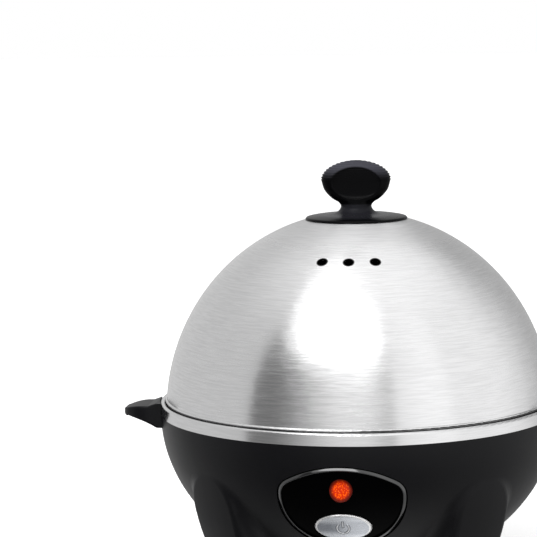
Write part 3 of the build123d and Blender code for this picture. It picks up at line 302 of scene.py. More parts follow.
# The diffuse light is even, the gloss sees the studio and the camera sees white
path = sky.new("ShaderNodeLightPath")
mirrored = sky.math("MAXIMUM", path.outputs["Is Glossy Ray"], path.outputs["Is Transmission Ray"])
strength = sky.mix(mirrored, AMBIENT, glow)
strength = sky.mix(path.outputs["Is Camera Ray"], strength, 1.0)
sky.feed(background.inputs["Strength"], strength)
background.inputs["Color"].default_value = (1, 1, 1, 1)
world.cycles.sampling_method = "MANUAL"
world.cycles.sample_map_resolution = 512

# Materials
GRAIN_DEPTH = 0.00008
STREAK_DEPTH = 0.0002
CLOUD_SCALE = 42.0
HAZE_SCALE = 9.0
PATCH_SCALE = 35.0
ACROSS = 0.25
JOINT_RADIUS = 0.08595
JOINT_BLUR = 0.00015
JOINT_SHADE = (0.03, 0.03, 0.03)
CROWN_FROM = 0.145
CROWN_TO = 0.158
CROWN_ROUGHER = 0.2
# Share, scale along the streaks and scale across them
BRUSHING = ((0.55, 75.0, 1500.0), (0.45, 160.0, 3400.0))


def object_place(build):
    """Coordinates of a point of the surface, as one vector and as three numbers."""
    place = build.new("ShaderNodeTexCoord").outputs["Object"]
    parts = build.new("ShaderNodeSeparateXYZ")
    build.feed(parts.inputs[0], place)
    return place, parts.outputs


def noise_at(build, vector, scale, detail=2.0):
    """Noise from 0 to 1 over a vector."""
    noise = build.new("ShaderNodeTexNoise")
    build.feed(noise.inputs["Vector"], vector)
    noise.inputs["Scale"].default_value = scale
    noise.inputs["Detail"].default_value = detail
    return noise.outputs["Fac"]


def blend_color(build, factor, first, second):
    """Colour between two colours, each a tuple or a socket."""
    node = build.new("ShaderNodeMix", data_type="RGBA")
    build.feed(node.inputs[0], factor)
    for socket, color in ((node.inputs[6], first), (node.inputs[7], second)):
        build.feed(socket, (*color, 1.0) if isinstance(color, tuple) else color)
    return node.outputs[2]


def tint_part(build, shader, share, color):
    """Blends a colour over the base colour where the share is 1."""
    plain = shader.inputs["Base Color"].links[0].from_socket
    build.feed(shader.inputs["Base Color"], blend_color(build, share, plain, color))


def streaks(build, values, scales, detail=2.0):
    """Noise over three values, each stretched by its own scale."""
    stretched = build.new("ShaderNodeCombineXYZ")
    for socket, value, scale in zip(stretched.inputs, values, scales):
        build.feed(socket, build.times(value, scale))
    return noise_at(build, stretched.outputs[0], 1.0, detail)


def shade(color, amount):
    """Colour made lighter or darker by a share."""
    return tuple(min(part * (1 + amount), 1.0) for part in color)


def bump(build, shader, height, strength, distance):
    """Relief on a shader from a height between 0 and 1."""
    node = build.new("ShaderNodeBump")
    node.inputs["Strength"].default_value = strength
    node.inputs["Distance"].default_value = distance
    build.feed(node.inputs["Height"], height)
    build.feed(shader.inputs["Normal"], node.outputs[0])


def moulded(name, color, rough, level=0.3, grain=1400.0, relief=0.08, tint=0.12, coat=0.0, coat_rough=0.1):
    """Moulded plastic or rubber: fine mould grain, cloudy gloss, and a faint haze of handling."""
    material, build, shader = principled(name, color, rough, level=level, coat=coat, coat_rough=coat_rough)
    place, _ = object_place(build)
    fine = noise_at(build, place, grain, 3.0)
    cloud = noise_at(build, place, CLOUD_SCALE, 4.0)
    haze = noise_at(build, place, HAZE_SCALE)
    tone = build.add(build.times(cloud, 0.6), build.times(fine, 0.4))
    color_out = blend_color(build, build.step(tone, 0.35, 0.65), shade(color, -tint), shade(color, tint))
    build.feed(shader.inputs["Base Color"], color_out)
    spread = build.add(build.step(cloud, 0.3, 0.7, rough * 0.93, rough * 1.05),
                       build.step(haze, 0.35, 0.65, -0.02, 0.03))
    build.feed(shader.inputs["Roughness"], spread)
    bump(build, shader, fine, relief, GRAIN_DEPTH)
    return material


def brushed_steel(name, color, rough, grain, relief, anisotropic=0.75, shadow=None):
    """Steel brushed round the axis: fine streaks along the circles, in colour, roughness and bump.

    shadow is a height band below which shade is painted into the joint, inside the joint's radius."""
    material, build, shader = principled(name, color, rough, metallic=1.0, anisotropic=anisotropic)
    tangent = build.new("ShaderNodeTangent", direction_type="RADIAL", axis="Z")
    build.feed(shader.inputs["Tangent"], tangent.outputs[0])
    shader.inputs["Anisotropic Rotation"].default_value = ACROSS
    place, (x, y, z) = object_place(build)
    radius = build.length(x, y)
    # Distance along the meridian, so that the streaks stay as fine near the crown as at the hem
    angle = build.math("ARCTAN2", radius, build.add(z, -LID_CENTRE))
    along = build.times(angle, LID_RADIUS)
    total = 0.0
    for share, long, fine in BRUSHING:
        brushing = streaks(build, (x, y, along), (long, long, fine))
        total = build.add(total, build.times(brushing, share))
    patches = noise_at(build, place, PATCH_SCALE)
    color_out = blend_color(build, build.step(total, 0.35, 0.65), shade(color, -grain), shade(color, grain))
    # Painted shade: the joint darkens to JOINT_SHADE below the band and inside the joint's radius
    if shadow:
        low, high = shadow
        inside = build.step(radius, JOINT_RADIUS, JOINT_RADIUS + JOINT_BLUR, 1.0, 0.0)
        depth = build.times(build.step(z, low, high, 1.0, 0.0), inside)
        color_out = blend_color(build, depth, color_out, JOINT_SHADE)
    build.feed(shader.inputs["Base Color"], color_out)
    spread = build.add(build.step(total, 0.3, 0.7, rough * 0.85, rough * 1.15),
                       build.step(patches, 0.3, 0.7, -0.015, 0.015))
    # A coarser finish towards the crown
    spread = build.add(spread, build.step(z, CROWN_FROM, CROWN_TO, 0.0, CROWN_ROUGHER))
    build.feed(shader.inputs["Roughness"], spread)
    bump(build, shader, total, relief, STREAK_DEPTH)
    return material


def worn_metal(name, color, rough, second, scale=220.0, relief=0.12):
    """Cast, stamped or turned metal with patches of a second colour and fine pits."""
    material, build, shader = principled(name, color, rough, metallic=1.0)
    place, _ = object_place(build)
    patches = noise_at(build, place, scale, 4.0)
    pits = noise_at(build, place, scale * 9.0)
    color_out = blend_color(build, build.step(patches, 0.4, 0.7), color, second)
    build.feed(shader.inputs["Base Color"], color_out)
    build.feed(shader.inputs["Roughness"], build.step(pits, 0.25, 0.75, rough * 0.8, rough * 1.25))
    bump(build, shader, pits, relief, GRAIN_DEPTH)
    return material


STEEL = (0.80, 0.80, 0.805)
BLACK = (0.0027, 0.0027, 0.0037)
KNOB_RUBBER = (0.0010, 0.0010, 0.0014)
# Colour of the painted light on the knob's lip and neck
KNOB_PAINTED_LIGHT = (0.052, 0.052, 0.064)
PAN_STEEL = (0.62, 0.62, 0.63)
# Heights between which the joint's shade fades out upwards, on the lid's hem and on the rim
LID_SHADE = (RIM_TOP, RIM_TOP + 0.0006)
RIM_SHADE = (RIM_TOP - 0.0012, RIM_TOP - 0.0004)
VENT_RING = 0.0495
VENT_HEIGHT = 0.1434
VENT_STEP = 13.15
VENT_EDGE = 0.0023
VENT_EDGE_BLUR = 0.0003
VENT_SHADE = (0.02, 0.02, 0.02)

lid_steel = brushed_steel("lid_steel", STEEL, 0.24, 0.06, 0.10, shadow=LID_SHADE)
# Painted shade widens each steam vent: a dark ring round its hole, out to VENT_EDGE
build, shader = reopened(lid_steel)
place, _ = object_place(build)
dark = 0.0
# Painted shade: each vent adds its dark ring to the mask
for index in (-1, 0, 1):
    vent_turn = radians(LID_TURN + index * VENT_STEP - 90)
    away = build.new("ShaderNodeVectorMath", operation="DISTANCE")
    build.feed(away.inputs[0], place)
    away.inputs[1].default_value = (VENT_RING * cos(vent_turn), VENT_RING * sin(vent_turn), VENT_HEIGHT)
    edge = build.step(away.outputs["Value"], VENT_EDGE, VENT_EDGE + VENT_EDGE_BLUR, 1.0, 0.0)
    dark = build.add(dark, edge)
tint_part(build, shader, dark, VENT_SHADE)
set_material("lid_shell", lid_steel)
set_material("rim_ring", brushed_steel("rim_steel", STEEL, 0.22, 0.05, 0.03, shadow=RIM_SHADE))
set_material("water_pan", brushed_steel("pan_steel", PAN_STEEL, 0.30, 0.08, 0.06, anisotropic=0.6))

black_plastic = moulded("black_plastic", BLACK, 0.40, level=0.19, relief=0.05)
knob_plastic = moulded("knob_plastic", KNOB_RUBBER, 0.30, level=0.06, relief=0.06)
tray_plastic = moulded("tray_plastic", (0.012, 0.012, 0.013), 0.48, level=0.35, relief=0.10)
bezel_plastic = moulded("bezel_plastic", (0.0015, 0.0015, 0.0020), 0.09, level=0.9, relief=0.01,
                        coat=0.5, coat_rough=0.05)
fascia_gloss = moulded("fascia_gloss", (0.0005, 0.0005, 0.0006), 0.14, level=0.02, relief=0.01)
silicone_black = moulded("silicone_black", (0.012, 0.012, 0.012), 0.72, level=0.25, grain=900.0,
                         relief=0.16)
silicone_grey = moulded("silicone_grey", (0.30, 0.30, 0.31), 0.66, grain=900.0, relief=0.12)
bakelite = moulded("bakelite", (0.035, 0.020, 0.012), 0.38, level=0.5, relief=0.08)
fuse_sleeve = moulded("fuse_sleeve", (0.55, 0.52, 0.46), 0.70, level=0.3, grain=2600.0, relief=0.22)
carrier_plastic = moulded("carrier_plastic", (0.55, 0.55, 0.52), 0.50, level=0.4)
switch_plastic = moulded("switch_plastic", (0.02, 0.02, 0.022), 0.45, level=0.4)
plunger_plastic = moulded("plunger_plastic", (0.62, 0.08, 0.05), 0.40, level=0.4)
block_plastic = moulded("block_plastic", (0.62, 0.62, 0.58), 0.45, level=0.4)
heater_aluminium = worn_metal("heater_aluminium", (0.55, 0.55, 0.56), 0.42, (0.42, 0.42, 0.43))
element_steel = worn_metal("element_steel", (0.30, 0.28, 0.26), 0.45, (0.22, 0.16, 0.11), scale=90.0)
strap_steel = worn_metal("strap_steel", (0.56, 0.55, 0.52), 0.36, (0.48, 0.45, 0.40))
screw_steel = worn_metal("screw_steel", (0.60, 0.60, 0.60), 0.28, (0.46, 0.45, 0.43), scale=400.0)
lamp_glass = moulded("lamp_glass", (0.90, 0.42, 0.22), 0.12, level=0.6, relief=0.02,
                     coat=0.6, coat_rough=0.05)
WIRE_COLORS = {
    "brown": (0.10, 0.035, 0.015),
    "blue": (0.02, 0.06, 0.30),
    "red": (0.42, 0.015, 0.012),
    "white": (0.70, 0.69, 0.66),
}
wires = {}
for name, color in WIRE_COLORS.items():
    wires[name] = moulded("wire_" + name, color, 0.42, level=0.4, grain=1800.0, relief=0.05)

PLAIN_NODES = {
    "base_housing": black_plastic, "bottom_cover": black_plastic, "egg_tray": tray_plastic,
    "panel_fascia": fascia_gloss, "rubber_feet": silicone_black, "cord_gland": silicone_black,
    "pan_gasket": silicone_grey, "rim_screws": screw_steel, "cover_screws": screw_steel,
    "carrier_screws": screw_steel, "strap_screws": screw_steel, "knob_screw": screw_steel,
    "knob_washer": silicone_grey, "heater_plate": heater_aluminium, "heating_element": element_steel,
    "element_pins": element_steel, "thermostat": bakelite, "thermostat_strap": strap_steel,
    "thermal_fuse": fuse_sleeve, "fuse_strap": strap_steel, "control_carrier": carrier_plastic,
    "push_switch": switch_plastic, "switch_plunger": plunger_plastic, "terminal_block": block_plastic,
    "indicator_lamp": lamp_glass, "live_lead": wires["brown"], "neutral_lead": wires["blue"],
    "switched_lead": wires["red"], "fuse_lead": wires["red"], "element_lead": wires["white"],
    "lamp_leads": wires["white"],
}
for name, material in PLAIN_NODES.items():
    set_material(name, material)


# Detailed pieces
def new_piece(name, mesh, material, body, slot, *replaced):
    """Puts a mesh into the scene as a piece that rides on a body and stands for CAD nodes."""
    piece = bpy.data.objects.new(name, mesh)
    bpy.context.scene.collection.objects.link(piece)
    mesh.materials.append(material)
    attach(piece, body)
    if replaced:
        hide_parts(*replaced)


def skin(name, rows, closed_ends=True):
    """Mesh through rows of points: each row is a closed ring with as many points as the others."""
    form = bmesh.new()
    rings = [[form.verts.new(point) for point in row] for row in rows]
    count = len(rows[0])
    for lower, upper in zip(rings, rings[1:]):
        for index in range(count):
            after = (index + 1) % count
            form.faces.new((lower[index], lower[after], upper[after], upper[index]))
    if closed_ends:
        form.faces.new(list(reversed(rings[0])))
        form.faces.new(rings[-1])
    bmesh.ops.recalc_face_normals(form, faces=form.faces[:])
    mesh = bpy.data.meshes.new(name)
    form.to_mesh(mesh)
    form.free()
    for face in mesh.polygons:
        face.use_smooth = True
    return mesh


def smooth_path(points, steps):
    """Points along a Catmull-Rom curve through the given points."""
    points = [Vector(point) for point in points]
    path = []
    padded = [points[0] * 2 - points[1], *points, points[-1] * 2 - points[-2]]
    for first, start, end, last in zip(padded, padded[1:], padded[2:], padded[3:]):
        slope = end - first
        bend = 2 * first - 5 * start + 4 * end - last
        twist = 3 * start - first - 3 * end + last
        for index in range(steps):
            t = index / steps
            path.append(0.5 * (2 * start + slope * t + bend * t ** 2 + twist * t ** 3))
    path.append(points[-1])
    return path


def oval_row(half_width, half_depth, power, count):
    """Points of an oval round the middle; a power of 2 is an ellipse, more is squarer."""
    row = []
    for index in range(count):
        angle = 2 * pi * index / count
        across = abs(cos(angle)) ** (2 / power) * (1 if cos(angle) >= 0 else -1)
        deep = abs(sin(angle)) ** (2 / power) * (1 if sin(angle) >= 0 else -1)
        row.append((half_width * across, half_depth * deep))
    return row


def dome_height(radius):
    """Height of the lid's outside at a distance from the axis."""
    return LID_CENTRE + LID_HALF_HEIGHT * sqrt(1 - (radius / LID_RADIUS) ** 2)


# Knob: plate, flared neck and oval grip with a ribbed edge and a thumb dish
KNOB_POINTS_AROUND = 240
GRIP_MIDDLE = 0.174
GRIP_HALF_WIDTH = 15.25 * MM
GRIP_HALF_HEIGHT = 8.57 * MM
GRIP_HALF_DEPTH = 6.0 * MM
GRIP_POWER = 2.7
GRIP_ROUND = 1.8
GRIP_THINNEST = 0.05
GRIP_TOP_POWER_LOSS = 0.7
RIB_COUNT = 11
RIB_HEIGHT = 0.22 * MM
RIB_STEPS = 8
DISH_HALF_WIDTH = 10.8 * MM
DISH_HALF_HEIGHT = 6.9 * MM
DISH_MIDDLE = GRIP_MIDDLE - 1.1 * MM
DISH_DEPTH = 1.5 * MM
DISH_ROUND = 0.55
SCREW_HOLE = 2.05 * MM
SCREW_HOLE_DEPTH = 12 * MM
KNOB_GAP = 0.05 * MM
PLATE_UNDERSIDE = (0.011, 0.016, 0.0205, 0.0218)
PROFILE_STEPS = 8
# Half width, half depth and height over the rim in millimetres, and squareness, from the plate to the grip
KNOB_PROFILE = [
    (22.5, 22.5, 84.9, 2.0),
    (22.2, 22.2, 85.5, 2.0),
    (21.2, 21.2, 85.95, 2.0),
    (16.5, 16.5, 86.7, 2.0),
    (10.8, 10.8, 87.2, 2.0),
    (8.2, 8.2, 88.1, 2.0),
    (6.9, 6.9, 89.7, 2.0),
    (6.85, 6.6, 91.0, 2.1),
    (8.0, 6.3, 92.4, 2.2),
    (10.2, 6.1, 93.7, 2.4),
    (12.5, 6.0, 95.8, 2.5),
    (14.2, 6.0, 98.3, 2.7),
    (15.25, 6.0, 102.0, 2.7),
]
rows = []


def knob_row(half_width, half_depth, height, power=2.0):
    """Adds a level oval to the knob's rows."""
    outline = oval_row(half_width, half_depth, power, KNOB_POINTS_AROUND)
    rows.append([(x, y, height) for x, y in outline])


crown = dome_height(CROWN_RADIUS) + KNOB_GAP
knob_row(SCREW_HOLE, SCREW_HOLE, crown + SCREW_HOLE_DEPTH)
knob_row(SCREW_HOLE, SCREW_HOLE, crown)
knob_row(CROWN_RADIUS, CROWN_RADIUS, crown)
for radius in PLATE_UNDERSIDE:
    knob_row(radius, radius, dome_height(radius) + 2 * KNOB_GAP)
for half_width, half_depth, height, power in smooth_path(KNOB_PROFILE, PROFILE_STEPS):
    knob_row(half_width * MM, half_depth * MM, RIM_HEIGHT + height * MM, power)
rib_rows = RIB_COUNT * RIB_STEPS
for step in range(1, rib_rows):
    turn_up = pi / 2 * step / rib_rows
    ribbed = 1 + RIB_HEIGHT / GRIP_HALF_WIDTH * cos(2 * pi * step / RIB_STEPS)
    thin = (1 - sin(turn_up) ** GRIP_ROUND) ** (1 / GRIP_ROUND)
    knob_row(
        GRIP_HALF_WIDTH * ribbed * cos(turn_up),
        GRIP_HALF_DEPTH * max(thin, GRIP_THINNEST),
        GRIP_MIDDLE + GRIP_HALF_HEIGHT * ribbed * sin(turn_up),
        GRIP_POWER - GRIP_TOP_POWER_LOSS * sin(turn_up) ** 8,
    )
spin = Matrix.Rotation(radians(KNOB_TURN), 3, "Z")
dished = []
for row in rows:
    ring = []
    for x, y, z in row:
        across = x / DISH_HALF_WIDTH
        up = (z - DISH_MIDDLE) / DISH_HALF_HEIGHT
        reach = across * across + up * up
        if y < 0 and reach < 1:
            y += DISH_DEPTH * (1 - reach) ** DISH_ROUND
        ring.append(spin @ Vector((x, y, z)))
    dished.append(ring)
# Painted light: the rubber is paler along the lip's upper half, where light from above falls, and a little
# round the neck
LIP_EDGE = (0.96, 1.10)
LIP_HEIGHT = 6.5 * MM
NECK_LOW = GRIP_MIDDLE - 15.0 * MM
NECK_HIGH = GRIP_MIDDLE - 11.0 * MM
NECK_LIGHT_SHARE = 0.25
build, shader = reopened(knob_plastic)
place, (x, y, z) = object_place(build)
across = build.times(x, 1 / DISH_HALF_WIDTH)
up = build.times(build.add(z, -DISH_MIDDLE), 1 / DISH_HALF_HEIGHT)
reach = build.length(across, up)
painted_lip_light = build.times(build.step(reach, *LIP_EDGE), build.step(z, GRIP_MIDDLE, GRIP_MIDDLE + LIP_HEIGHT))
painted_neck_light = build.window(z, NECK_LOW, NECK_HIGH, MM, MM)
# Painted light blended over the knob's rubber
tint_part(build, shader, build.add(painted_lip_light, build.times(painted_neck_light, NECK_LIGHT_SHARE)), KNOB_PAINTED_LIGHT)
new_piece("knob_body", skin("knob_body", dished), knob_plastic, "lid", "knob_plastic", "lid_knob")


# Panel outline as in the CAD, in the front plane: millimetres from the axis and below the rim
PANEL_TURNS = [(0.0, -8.6), (23.5, -14.95), (27.2, -21.0), (19.0, -40.3)]
PANEL_STEP = 0.6
BEZEL_DEPTH = 1.4
# From the outline inwards, and up from the bowl's surface: a ramp that rises inwards to a round crest
BEZEL_PROFILE = [
    (0.25, -BEZEL_DEPTH), (0.25, -0.50), (0.34, -0.38), (0.80, -0.02), (1.40, 0.45),
    (1.58, 0.56), (1.74, 0.54), (1.86, 0.36), (1.90, 0.10), (1.90, -BEZEL_DEPTH),
]


def arc_from(start, course, end):
    """Points and inward normals along the arc from start to end, and the course on which it arrives."""
    left = Vector((course.y, -course.x))
    chord = end - start
    radius = chord.length_squared / (2 * chord.dot(left))
    middle = start + left * radius
    first = start - middle
    sweep = first.angle_signed(end - middle)
    count = max(2, int(abs(sweep * radius) / PANEL_STEP))
    spots = []
    for index in range(count):
        arm = Matrix.Rotation(-sweep * index / count, 2) @ first
        spots.append((middle + arm, -arm.normalized()))
    return spots, Matrix.Rotation(-sweep, 2) @ course


def panel_outline():
    """Points and inward normals all round the panel, from the middle of its top to the right."""
    turns = [Vector(turn) for turn in PANEL_TURNS]
    course = Vector((1.0, 0.0))
    half = []
    for start, end in zip(turns, turns[1:]):
        spots, course = arc_from(start, course, end)
        half += spots
    waist = turns[-1]
    bottom = Vector((0.0, waist.y - waist.x * (1 + course.x) / -course.y))
    spots, _ = arc_from(waist, course, bottom)
    half += spots
    half.append((bottom, Vector((0.0, 1.0))))
    mirrored = [(Vector((-spot.x, spot.y)), Vector((-way.x, way.y))) for spot, way in half[1:-1]]
    return half + list(reversed(mirrored))


def on_bowl(x, drop, rise):
    """Point over the bowl's front at a distance from the middle and below the rim, all in millimetres."""
    depth = BOWL_DEPTH / MM + rise
    radius = (BOWL_RADIUS / MM + rise) * sqrt(1 - (drop / depth) ** 2)
    return Vector((x * MM, -sqrt(radius * radius - x * x) * MM, RIM_HEIGHT + drop * MM))


outline = panel_outline()
rows = []
for inset, rise in (*BEZEL_PROFILE, BEZEL_PROFILE[0]):
    ring = []
    for spot, inward in outline:
        moved = spot + inward * inset
        ring.append(on_bowl(moved.x, moved.y, rise))
    rows.append(ring)
bezel_mesh = skin("bezel_ring", rows, closed_ends=False)
new_piece("bezel_ring", bezel_mesh, bezel_plastic, "base", "bezel_plastic", "panel_bezel")

# Lens: a lit amber cap with a knurled dome inside a plain rim of the same amber
LENS_DROP = -19.0
LENS_RADIUS = 4.8
LENS_BACK = 80.0
LENS_RINGS = 34
LENS_AROUND = 120
LENS_DOME_RADIUS = 4.1
LENS_DOME_FOOT = -0.3
LENS_DOME_RISE = 0.42
# Radius and height over the bowl's surface, from the front edge to the dome's foot
LENS_RIM = [(LENS_RADIUS, -0.5), (LENS_RADIUS - 0.12, -0.28), (4.45, -0.2), (4.3, -0.35)]
KNURL_PITCH = 0.85
KNURL_HEIGHT = 0.10


def circle_row(radius):
    """Points of a circle round the lens's middle."""
    row = []
    for step in range(LENS_AROUND):
        around = 2 * pi * step / LENS_AROUND
        row.append((radius * cos(around), radius * sin(around)))
    return row


def knurl(x, z):
    """Height of small pyramids in three directions."""
    height = 0.0
    for way in (0, 60, 120):
        run = x * cos(radians(way)) + z * sin(radians(way))
        height += cos(2 * pi * run / KNURL_PITCH)
    return KNURL_HEIGHT * height / 3


rows = []
face = -on_bowl(0, LENS_DROP, 0).y / MM
for radius, out in ((LENS_RADIUS, LENS_BACK - face), *LENS_RIM):
    rows.append([Vector((x, z, out)) for x, z in circle_row(radius)])
for ring_index in range(LENS_RINGS):
    radius = LENS_DOME_RADIUS * (1 - ring_index / LENS_RINGS)
    share = radius / LENS_DOME_RADIUS
    dome = LENS_DOME_FOOT + LENS_DOME_RISE * (1 - share * share)
    fade = 1 - share ** 8
    rows.append([Vector((x, z, dome + knurl(x, z) * fade)) for x, z in circle_row(radius)])
# The cap leans with the bowl's surface
lean = (on_bowl(0, LENS_DROP - 1, 0) - on_bowl(0, LENS_DROP + 1, 0)).normalized()
tilt = lean.y / lean.z
placed = []
for index, row in enumerate(rows):
    ring = []
    for x, z, out in row:
        depth = face + out + (z * tilt if index else 0)
        ring.append(Vector((x * MM, -depth * MM, RIM_HEIGHT + (LENS_DROP + z) * MM)))
    placed.append(ring)

# Amber lit from behind: mottled and bright in the middle, dark red towards the edge
AMBER = (0.30, 0.015, 0.004)
AMBER_LOW = (0.52, 0.022, 0.0)
AMBER_HIGH = (0.95, 0.11, 0.002)
AMBER_EDGE = (0.16, 0.010, 0.004)
CELL_SCALE = 1400.0
MOTTLE_SCALE = 900.0
AMBER_EDGE_RADII = (2.6 * MM, 4.4 * MM)
GLOW_RADII = (3.0 * MM, 4.7 * MM)
GLOW_MIDDLE = 0.95
GLOW_EDGE = 0.25
UNLIT_SHARE = 0.35
PRESSED_DEPTH = 0.0001
lens_glow, build, shader = principled("lens_amber", AMBER, 0.22, level=0.06, coat=0.06, coat_rough=0.06)
place, (x, y, z) = object_place(build)
reach = build.length(x, build.add(z, -(RIM_HEIGHT + LENS_DROP * MM)))
cells = build.new("ShaderNodeTexVoronoi")
build.feed(cells.inputs["Vector"], place)
cells.inputs["Scale"].default_value = CELL_SCALE
spots = build.step(cells.outputs["Distance"], 0.15, 0.62, 1.0, 0.0)
mottled = build.add(build.times(spots, 0.7), build.times(noise_at(build, place, MOTTLE_SCALE), 0.3))
hot_color = blend_color(build, build.step(mottled, 0.25, 0.75), AMBER_LOW, AMBER_HIGH)
glow_color = blend_color(build, build.step(reach, *AMBER_EDGE_RADII), hot_color, AMBER_EDGE)
build.feed(shader.inputs["Base Color"], blend_color(build, UNLIT_SHARE, (0.0, 0.0, 0.0), glow_color))
build.feed(shader.inputs["Emission Color"], glow_color)
build.feed(shader.inputs["Emission Strength"], build.step(reach, *GLOW_RADII, GLOW_MIDDLE, GLOW_EDGE))
build.feed(shader.inputs["Roughness"], build.step(mottled, 0.2, 0.8, 0.14, 0.32))
bump(build, shader, cells.outputs["Distance"], 0.35, PRESSED_DEPTH)
new_piece("lens_cap", skin("lens_cap", placed), lens_glow, "base", "lens_amber", "indicator_lens")

# Button: an oval cap with a bright turned edge, a brushed, slightly domed face and a raised power sign
BUTTON_DROP = -36.5
BUTTON_HALF_WIDTH = 11.9
BUTTON_HALF_HEIGHT = 6.3
BUTTON_FLANGE = 1.5
BUTTON_FLANGE_THICKNESS = 1.5
BUTTON_BACK = 67.2
BUTTON_RISE = 0.9
BUTTON_EDGE = 0.75
BUTTON_EDGE_STEPS = 6
BUTTON_EDGE_FOOT = 0.4
BUTTON_AROUND = 160
BUTTON_RINGS = 14
BUTTON_DOME = 0.25
SIGN_RADIUS = 2.55
SIGN_DROP = -0.2


def button_point(x, z, rise):
    """Point over the button's middle, offset sideways and upwards, standing proud of the bowl's surface."""
    return on_bowl(x, BUTTON_DROP + z, rise)


def button_oval(inset):
    """Points of the button's outline drawn in by an inset."""
    return oval_row(BUTTON_HALF_WIDTH - inset, BUTTON_HALF_HEIGHT - inset, 2.0, BUTTON_AROUND)


rows = []
flange_back = BUTTON_BACK - BUTTON_FLANGE_THICKNESS
for inset, depth in ((-BUTTON_FLANGE, flange_back), (-BUTTON_FLANGE, BUTTON_BACK), (0, BUTTON_BACK)):
    rows.append([
        Vector((x * MM, -depth * MM, RIM_HEIGHT + (BUTTON_DROP + z) * MM)) for x, z in button_oval(inset)
    ])
edge_profile = [(0.0, BUTTON_RISE - BUTTON_EDGE - BUTTON_EDGE_FOOT), (0.0, BUTTON_RISE - BUTTON_EDGE)]
for step in range(1, BUTTON_EDGE_STEPS + 1):
    lean_in = pi / 2 * step / BUTTON_EDGE_STEPS
    inset = BUTTON_EDGE * (1 - cos(lean_in))
    edge_profile.append((inset, BUTTON_RISE - BUTTON_DOME - BUTTON_EDGE * (1 - sin(lean_in))))
for inset, rise in edge_profile:
    rows.append([button_point(x, z, rise) for x, z in button_oval(inset)])
for ring_index in range(1, BUTTON_RINGS):
    share = 1 - ring_index / BUTTON_RINGS
    half_width = (BUTTON_HALF_WIDTH - BUTTON_EDGE) * share
    half_height = (BUTTON_HALF_HEIGHT - BUTTON_EDGE) * share
    rise = BUTTON_RISE - BUTTON_DOME * share * share
    rows.append([button_point(x, z, rise) for x, z in oval_row(half_width, half_height, 2.0, BUTTON_AROUND)])

# Silver as shaded and as lit by painted light, between which the button's face is blended
SILVER = (0.52, 0.54, 0.58)
SILVER_SHADED = (0.36, 0.38, 0.42)
SILVER_LIT = (0.90, 0.93, 0.98)
SILVER_FLAKE = (0.10, 0.11, 0.13)
SILVER_CORNER = (0.05, 0.055, 0.065)
TURNED_EDGE = (1.0, 1.0, 1.0)
TURNED_EDGE_FROM = (0.90, 0.93)
BUTTON_BRUSHING = (120.0, 120.0, 3600.0)
FLAKE_SCALE = 2600.0
# Where the painted light makes the button's face paler
PAINTED_LIGHT_UP = (0.8 * MM, 4.2 * MM)
PAINTED_LIGHT_RIGHT = (-6.0 * MM, 3.0 * MM)
PAINTED_LIGHT_RIGHT_SHARE = 0.55
# How far the shade reaches beside the sign's ring and bar, and how soft its edges are
RING_SHADE = 0.5
RING_SHADE_BLUR = 0.12 * MM
RING_SHADE_TOP = (1.5 * MM, 2.0 * MM)
BAR_SHADE = (0.5 * MM, 0.65 * MM)
BAR_SHADE_LOW = 0.2 * MM
BAR_SHADE_HIGH = 3.4 * MM
BAR_SHADE_BLUR = 0.1 * MM
SHADE_SHARE = 0.75
BRUSHED_DEPTH = 0.0001
silver, build, shader = principled("button_silver", SILVER, 0.30, metallic=0.9)
place, (x, y, z) = object_place(build)
brushing = streaks(build, (x, y, z), BUTTON_BRUSHING, 3.0)
flakes = noise_at(build, place, FLAKE_SCALE)
tone = build.add(build.times(brushing, 0.65), build.times(flakes, 0.35))
# Painted light makes the brushed face paler towards the top, the bottom and the right; the turned edge is
# palest
up = build.add(z, -(RIM_HEIGHT + (BUTTON_DROP + SIGN_DROP) * MM))
painted_light_share = build.math("MAXIMUM", build.step(build.math("ABSOLUTE", up), *PAINTED_LIGHT_UP),
                   build.step(x, *PAINTED_LIGHT_RIGHT, 0.0, PAINTED_LIGHT_RIGHT_SHARE))
painted_light_color = blend_color(build, painted_light_share, SILVER_SHADED, SILVER_LIT)
face_color = blend_color(build, build.step(tone, 0.3, 0.7, 0.22, 0.0), painted_light_color, SILVER_FLAKE)
over = build.times(x, 1 / (BUTTON_HALF_WIDTH * MM))
high = build.times(up, 1 / (BUTTON_HALF_HEIGHT * MM))
turned = build.step(build.length(over, high), *TURNED_EDGE_FROM)
face_color = blend_color(build, turned, face_color, TURNED_EDGE)
# Shade in the corners beside the raised sign
ring_inside = (SIGN_RADIUS - RING_SHADE) * MM
ring_outside = (SIGN_RADIUS + RING_SHADE) * MM
beside_ring = build.window(build.length(x, up), ring_inside, ring_outside, RING_SHADE_BLUR, RING_SHADE_BLUR)
below_gap = build.step(up, *RING_SHADE_TOP, 1.0, 0.0)
beside_bar = build.step(build.math("ABSOLUTE", x), *BAR_SHADE, 1.0, 0.0)
bar_height = build.window(up, BAR_SHADE_LOW, BAR_SHADE_HIGH, BAR_SHADE_BLUR, BAR_SHADE_BLUR)
shadow = build.math("MAXIMUM", build.times(beside_ring, below_gap), build.times(beside_bar, bar_height))
shadow = build.times(shadow, SHADE_SHARE)
build.feed(shader.inputs["Base Color"], blend_color(build, shadow, face_color, SILVER_CORNER))
build.feed(shader.inputs["Roughness"], build.step(tone, 0.3, 0.7, 0.24, 0.34))
bump(build, shader, tone, 0.12, BRUSHED_DEPTH)
new_piece("button_cap", skin("button_cap", rows), silver, "button", "button_silver", "power_button")

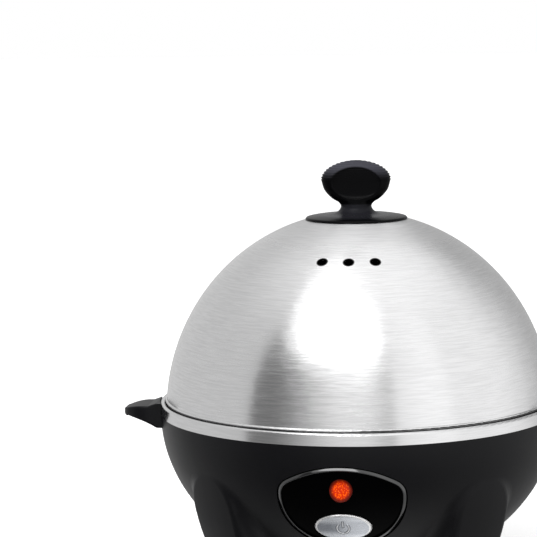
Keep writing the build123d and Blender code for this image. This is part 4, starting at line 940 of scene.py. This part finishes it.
# Raised power sign: a broken ring, open for so many degrees on each side of the top, and a bar
SIGN_GAP = 40.0
SIGN_LINE = 0.32
SIGN_ENDS = (0.25, 0.75, 1.0)
SIGN_SIDES = 10
SIGN_SINK = 0.04
SIGN_RING_STEPS = 40
SIGN_BAR_FROM = 0.3
SIGN_BAR_LENGTH = 3.0
SIGN_BAR_STEPS = 10
SIGN_METAL = (0.90, 0.91, 0.93)
SIGN_METAL_WORN = (0.80, 0.81, 0.84)


def sign_line(spots):
    """Round bead along points of the button's face, given sideways and upwards from its middle."""
    spots = [Vector(spot) for spot in spots]
    rows = []
    for index, spot in enumerate(spots):
        way = (spots[min(index + 1, len(spots) - 1)] - spots[max(index - 1, 0)]).normalized()
        side = Vector((way.y, -way.x))
        end = min(index, len(spots) - 1 - index)
        girth = SIGN_LINE * SIGN_ENDS[min(end, 2)]
        ring = []
        for turn_index in range(SIGN_SIDES):
            around = 2 * pi * turn_index / SIGN_SIDES
            beside = spot + side * girth * cos(around)
            reach = (beside.x / BUTTON_HALF_WIDTH) ** 2 + (beside.y / BUTTON_HALF_HEIGHT) ** 2
            face_rise = BUTTON_RISE - BUTTON_DOME * reach - SIGN_SINK
            ring.append(button_point(beside.x, beside.y, face_rise + girth * sin(around)))
        rows.append(ring)
    return rows


ring_spots = []
for step in range(SIGN_RING_STEPS + 1):
    around = radians(90 + SIGN_GAP + (360 - 2 * SIGN_GAP) * step / SIGN_RING_STEPS)
    ring_spots.append((SIGN_RADIUS * cos(around), SIGN_DROP + SIGN_RADIUS * sin(around)))
bar_spots = []
for step in range(SIGN_BAR_STEPS + 1):
    bar_spots.append((0.0, SIGN_DROP + SIGN_BAR_FROM + SIGN_BAR_LENGTH * step / SIGN_BAR_STEPS))
sign_metal = worn_metal("sign_metal", SIGN_METAL, 0.30, SIGN_METAL_WORN, scale=900.0, relief=0.05)
for name, spots in (("sign_ring", ring_spots), ("sign_bar", bar_spots)):
    new_piece(name, skin(name, sign_line(spots)), sign_metal, "button", "button_silver")
